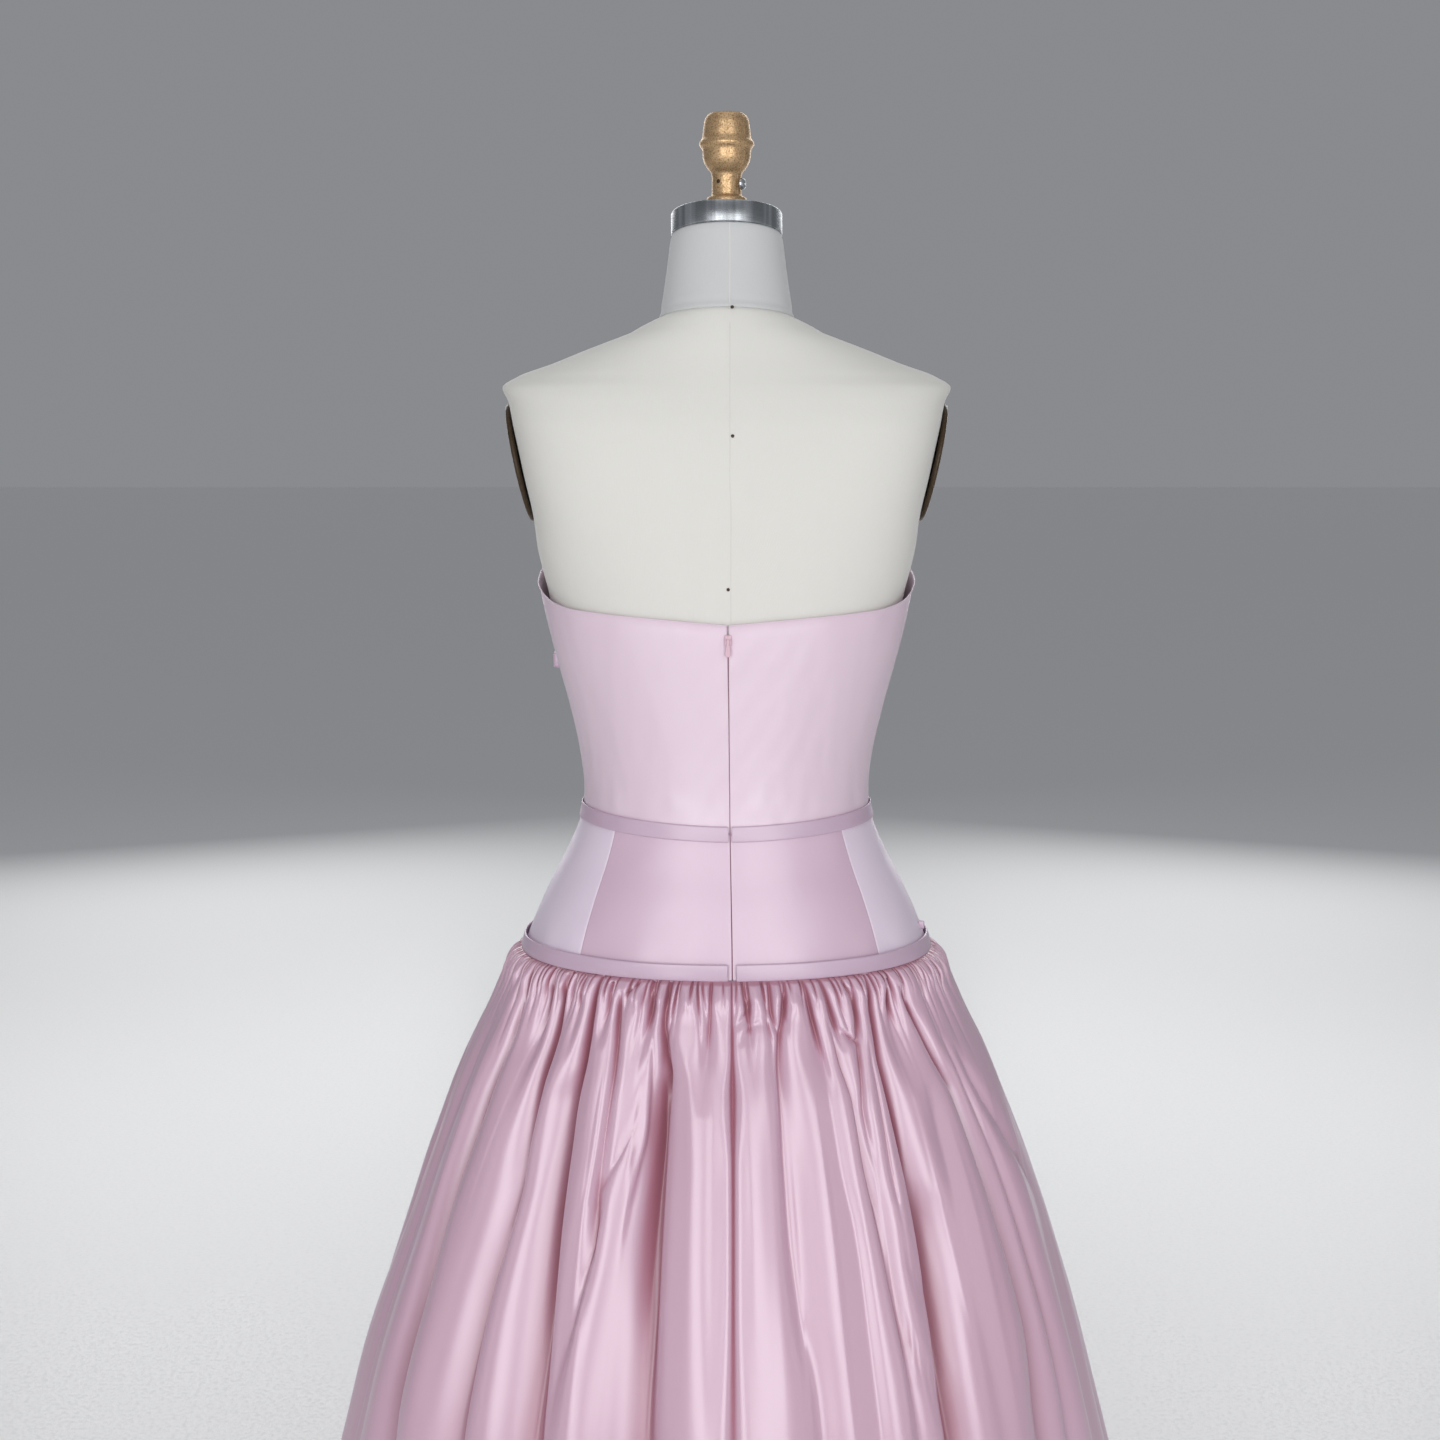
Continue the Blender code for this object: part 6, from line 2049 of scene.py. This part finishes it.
class BuildBodice(bpy.types.Operator):
    """Build the five panels of the bodice"""

    bl_idname = "evening_dress.bodice"
    bl_label = "Bodice"

    def execute(self, context):
        settings = context.scene.evening_dress
        # a paler copy of the satin for the bodice's broad highlight: painted light
        material = satin(settings, "bodice_satin", settings.bodice_lit_color)
        left, princess = SIDE_TURN, FRONT_PRINCESS_TURN
        right, right_princess = 360.0 - left, 360.0 - princess
        bodice_panel("satin_bodice_back_left", 0.10, left, material)
        bodice_panel("satin_bodice_side_left", left, princess, material)
        bodice_panel("satin_bodice_front", princess, right_princess, material)
        bodice_panel("satin_bodice_side_right", right_princess, right, material)
        bodice_panel("satin_bodice_back_right", right, 359.90, material)
        return {"FINISHED"}


class BuildYoke(bpy.types.Operator):
    """Build the five panels of the hip yoke"""

    bl_idname = "evening_dress.yoke"
    bl_label = "Hip Yoke"

    def execute(self, context):
        settings = context.scene.evening_dress
        # copies of the one satin, paler on the sides, for the light each panel gets: painted light
        # and shade
        back = satin(settings, "yoke_satin", settings.yoke_lit_color)
        sides = satin(settings, "side_satin", settings.side_lit_color)

        def at(turn):
            return lambda height: np.full(height.shape, turn)

        def right_back_princess(height):
            return 360.0 - back_princess(height)

        princess, right_princess = at(FRONT_PRINCESS_TURN), at(360.0 - FRONT_PRINCESS_TURN)
        yoke_panel("satin_yoke_back_left", at(0.12), back_princess, back)
        yoke_panel("satin_yoke_side_left", back_princess, princess, sides)
        yoke_panel("satin_yoke_front", princess, right_princess, back)
        yoke_panel("satin_yoke_side_right", right_princess, right_back_princess, sides)
        yoke_panel("satin_yoke_back_right", right_back_princess, at(359.88), back)
        return {"FINISHED"}


class BuildBands(bpy.types.Operator):
    """Build the waist band and the hip band"""

    bl_idname = "evening_dress.bands"
    bl_label = "Waist and Hip Bands"

    def execute(self, context):
        settings = context.scene.evening_dress
        material = satin(settings, "band_satin", settings.band_color)
        lift = EASE + CLOTH_WALL + BAND_LIFT + BAND_WALL / 2.0

        def waist_height(side):
            return WAIST_BAND_LOW + WAIST_BAND_TALL / 2.0 + waist_rise(side)

        def waist_out(side, up):
            return lift

        def hip_height(side):
            return HIP_BAND_LOW + HIP_BAND_TALL / 2.0

        def hip_out(side, up):
            roll = HIP_BAND_ROLL * (0.5 + 0.5 * up) * (
                1.0 + 0.5 * soft_hump(side, 70.0, 9.0) + 0.4 * np.sin(np.radians(side * 6.0)))
            return lift + BAND_LIFT + roll

        band_ring("satin_waist_band", band_turns(WAIST_BAND_OPENING, 300), waist_height, waist_out,
                  WAIST_BAND_TALL, material, belly=0.0003)
        band_ring("satin_hip_band", band_turns(HIP_BAND_OPENING, 360), hip_height, hip_out,
                  HIP_BAND_TALL, material, belly=0.0004)
        return {"FINISHED"}


class BuildSkirt(bpy.types.Operator):
    """Build the three gathered panels of the skirt"""

    bl_idname = "evening_dress.skirt"
    bl_label = "Gathered Skirt"

    def execute(self, context):
        settings = context.scene.evening_dress
        material = folded_satin(settings)
        skirt_panel("satin_skirt_back_left", 0.0, 90.0, material, 620)
        skirt_panel("satin_skirt_front", 90.0, 270.0, material, 625)
        skirt_panel("satin_skirt_back_right", 270.0, 360.0, material, 620)
        return {"FINISHED"}


class BuildZip(bpy.types.Operator):
    """Build the zip's slider and its pull tab"""

    bl_idname = "evening_dress.zip"
    bl_label = "Back Zip"

    def execute(self, context):
        settings = context.scene.evening_dress
        material = pink_metal(settings)
        slider_piece(material)
        pull_tab(material)
        form = context.scene.dress_form
        # dark for the tape and for painted shade in the gap
        zip_coil(cotton(form, "zip_tape", settings.tape_and_shade_color))
        return {"FINISHED"}


class BuildTrim(bpy.types.Operator):
    """Build the small cloth ends at the two sides"""

    bl_idname = "evening_dress.trim"
    bl_label = "Cloth Ends"

    def execute(self, context):
        settings = context.scene.evening_dress
        material = satin(settings, "band_satin", settings.band_color)
        for node in ("side_tab_left", "hip_tab_right"):
            low, high = (Vector(corner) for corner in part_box(node))
            size = high - low
            boxes = [((low + high) / 2.0, size, min(size) * 0.3)]
            rounded_boxes("satin_" + node, boxes, material, node)
        return {"FINISHED"}


class BuildStage(bpy.types.Operator):
    """Build the floor, the lights and the camera"""

    bl_idname = "evening_dress.stage"
    bl_label = "Stage"

    def execute(self, context):
        settings = context.scene.dress_stage
        across, along = np.meshgrid((-FLOOR_HALF, FLOOR_HALF), (-FLOOR_HALF, FLOOR_HALF))
        mesh = grid_mesh("floor", np.stack([across, along, 0.0 * across], axis=-1))
        floor = bpy.data.objects.new("floor", mesh)
        context.scene.collection.objects.link(floor)
        mesh.materials.append(floor_paint(settings))
        self.add_camera(context, settings)
        self.add_lights(context, settings)
        return {"FINISHED"}

    def add_camera(self, context, settings):
        data = bpy.data.cameras.new("camera")
        data.lens = 50.0
        data.sensor_width = 36.0
        camera = bpy.data.objects.new("camera", data)
        camera.location = (CAMERA_SIDE, settings.camera_distance, settings.camera_height)
        camera.rotation_euler = (
            math.radians(90.0) - settings.camera_pitch, 0.0, math.radians(180.0))
        context.scene.collection.objects.link(camera)
        context.scene.camera = camera

    def add_lights(self, context, settings):
        world = bpy.data.worlds.new("studio")
        world.use_nodes = True
        background = world.node_tree.nodes["Background"]
        background.inputs["Color"].default_value = SKY_COLOR
        background.inputs["Strength"].default_value = SKY_STRENGTH
        context.scene.world = world
        context.scene.view_settings.view_transform = "Standard"
        for row in LAMPS:
            data = bpy.data.lights.new(row.name, "AREA")
            data.shape = "RECTANGLE"
            data.size = row.size
            data.size_y = row.size * LAMP_TALLNESS
            data.energy = row.share * getattr(settings, row.power)
            data.color = (1.0, 1.0, 1.0)
            light = bpy.data.objects.new(row.name, data)
            angle = math.radians(row.turn)
            x, y = row.distance * math.sin(angle), row.distance * math.cos(angle)
            light.location = (x, y, row.height)
            light.rotation_euler = (LAMP_TARGET - light.location).to_track_quat("-Z", "Y").to_euler()
            context.scene.collection.objects.link(light)


class EveningDressPanel(bpy.types.Panel):
    """Lists the sizes, colours and build steps of the dress"""

    bl_idname = "VIEW3D_PT_evening_dress"
    bl_label = "Evening Dress"
    bl_space_type = "VIEW_3D"
    bl_region_type = "UI"
    bl_category = "Evening Dress"

    def draw(self, context):
        layout = self.layout
        for title, owner in (
            ("Dress", context.scene.evening_dress),
            ("Form", context.scene.dress_form),
            ("Stage", context.scene.dress_stage),
        ):
            box = layout.box()
            box.label(text=title)
            for name in owner.__annotations__:
                box.prop(owner, name)
        for step in BUILD_STEPS:
            layout.operator(step.bl_idname)


BUILD_STEPS = (
    BuildFormCover,
    BuildFormFittings,
    BuildStand,
    BuildBodice,
    BuildYoke,
    BuildBands,
    BuildSkirt,
    BuildZip,
    BuildTrim,
    BuildStage,
)
CLASSES = (EveningDressSettings, DressFormSettings, StageSettings, *BUILD_STEPS, EveningDressPanel)


def register():
    for item in CLASSES:
        bpy.utils.register_class(item)
    bpy.types.Scene.evening_dress = bpy.props.PointerProperty(type=EveningDressSettings)
    bpy.types.Scene.dress_form = bpy.props.PointerProperty(type=DressFormSettings)
    bpy.types.Scene.dress_stage = bpy.props.PointerProperty(type=StageSettings)


def unregister():
    del bpy.types.Scene.evening_dress
    del bpy.types.Scene.dress_form
    del bpy.types.Scene.dress_stage
    for item in reversed(CLASSES):
        bpy.utils.unregister_class(item)


def main():
    register()
    bpy.ops.evening_dress.form_cover()
    bpy.ops.evening_dress.form_fittings()
    bpy.ops.evening_dress.stand()
    bpy.ops.evening_dress.bodice()
    bpy.ops.evening_dress.yoke()
    bpy.ops.evening_dress.bands()
    bpy.ops.evening_dress.skirt()
    bpy.ops.evening_dress.zip()
    bpy.ops.evening_dress.trim()
    bpy.ops.evening_dress.stage()


if __name__ == "__main__":
    main()
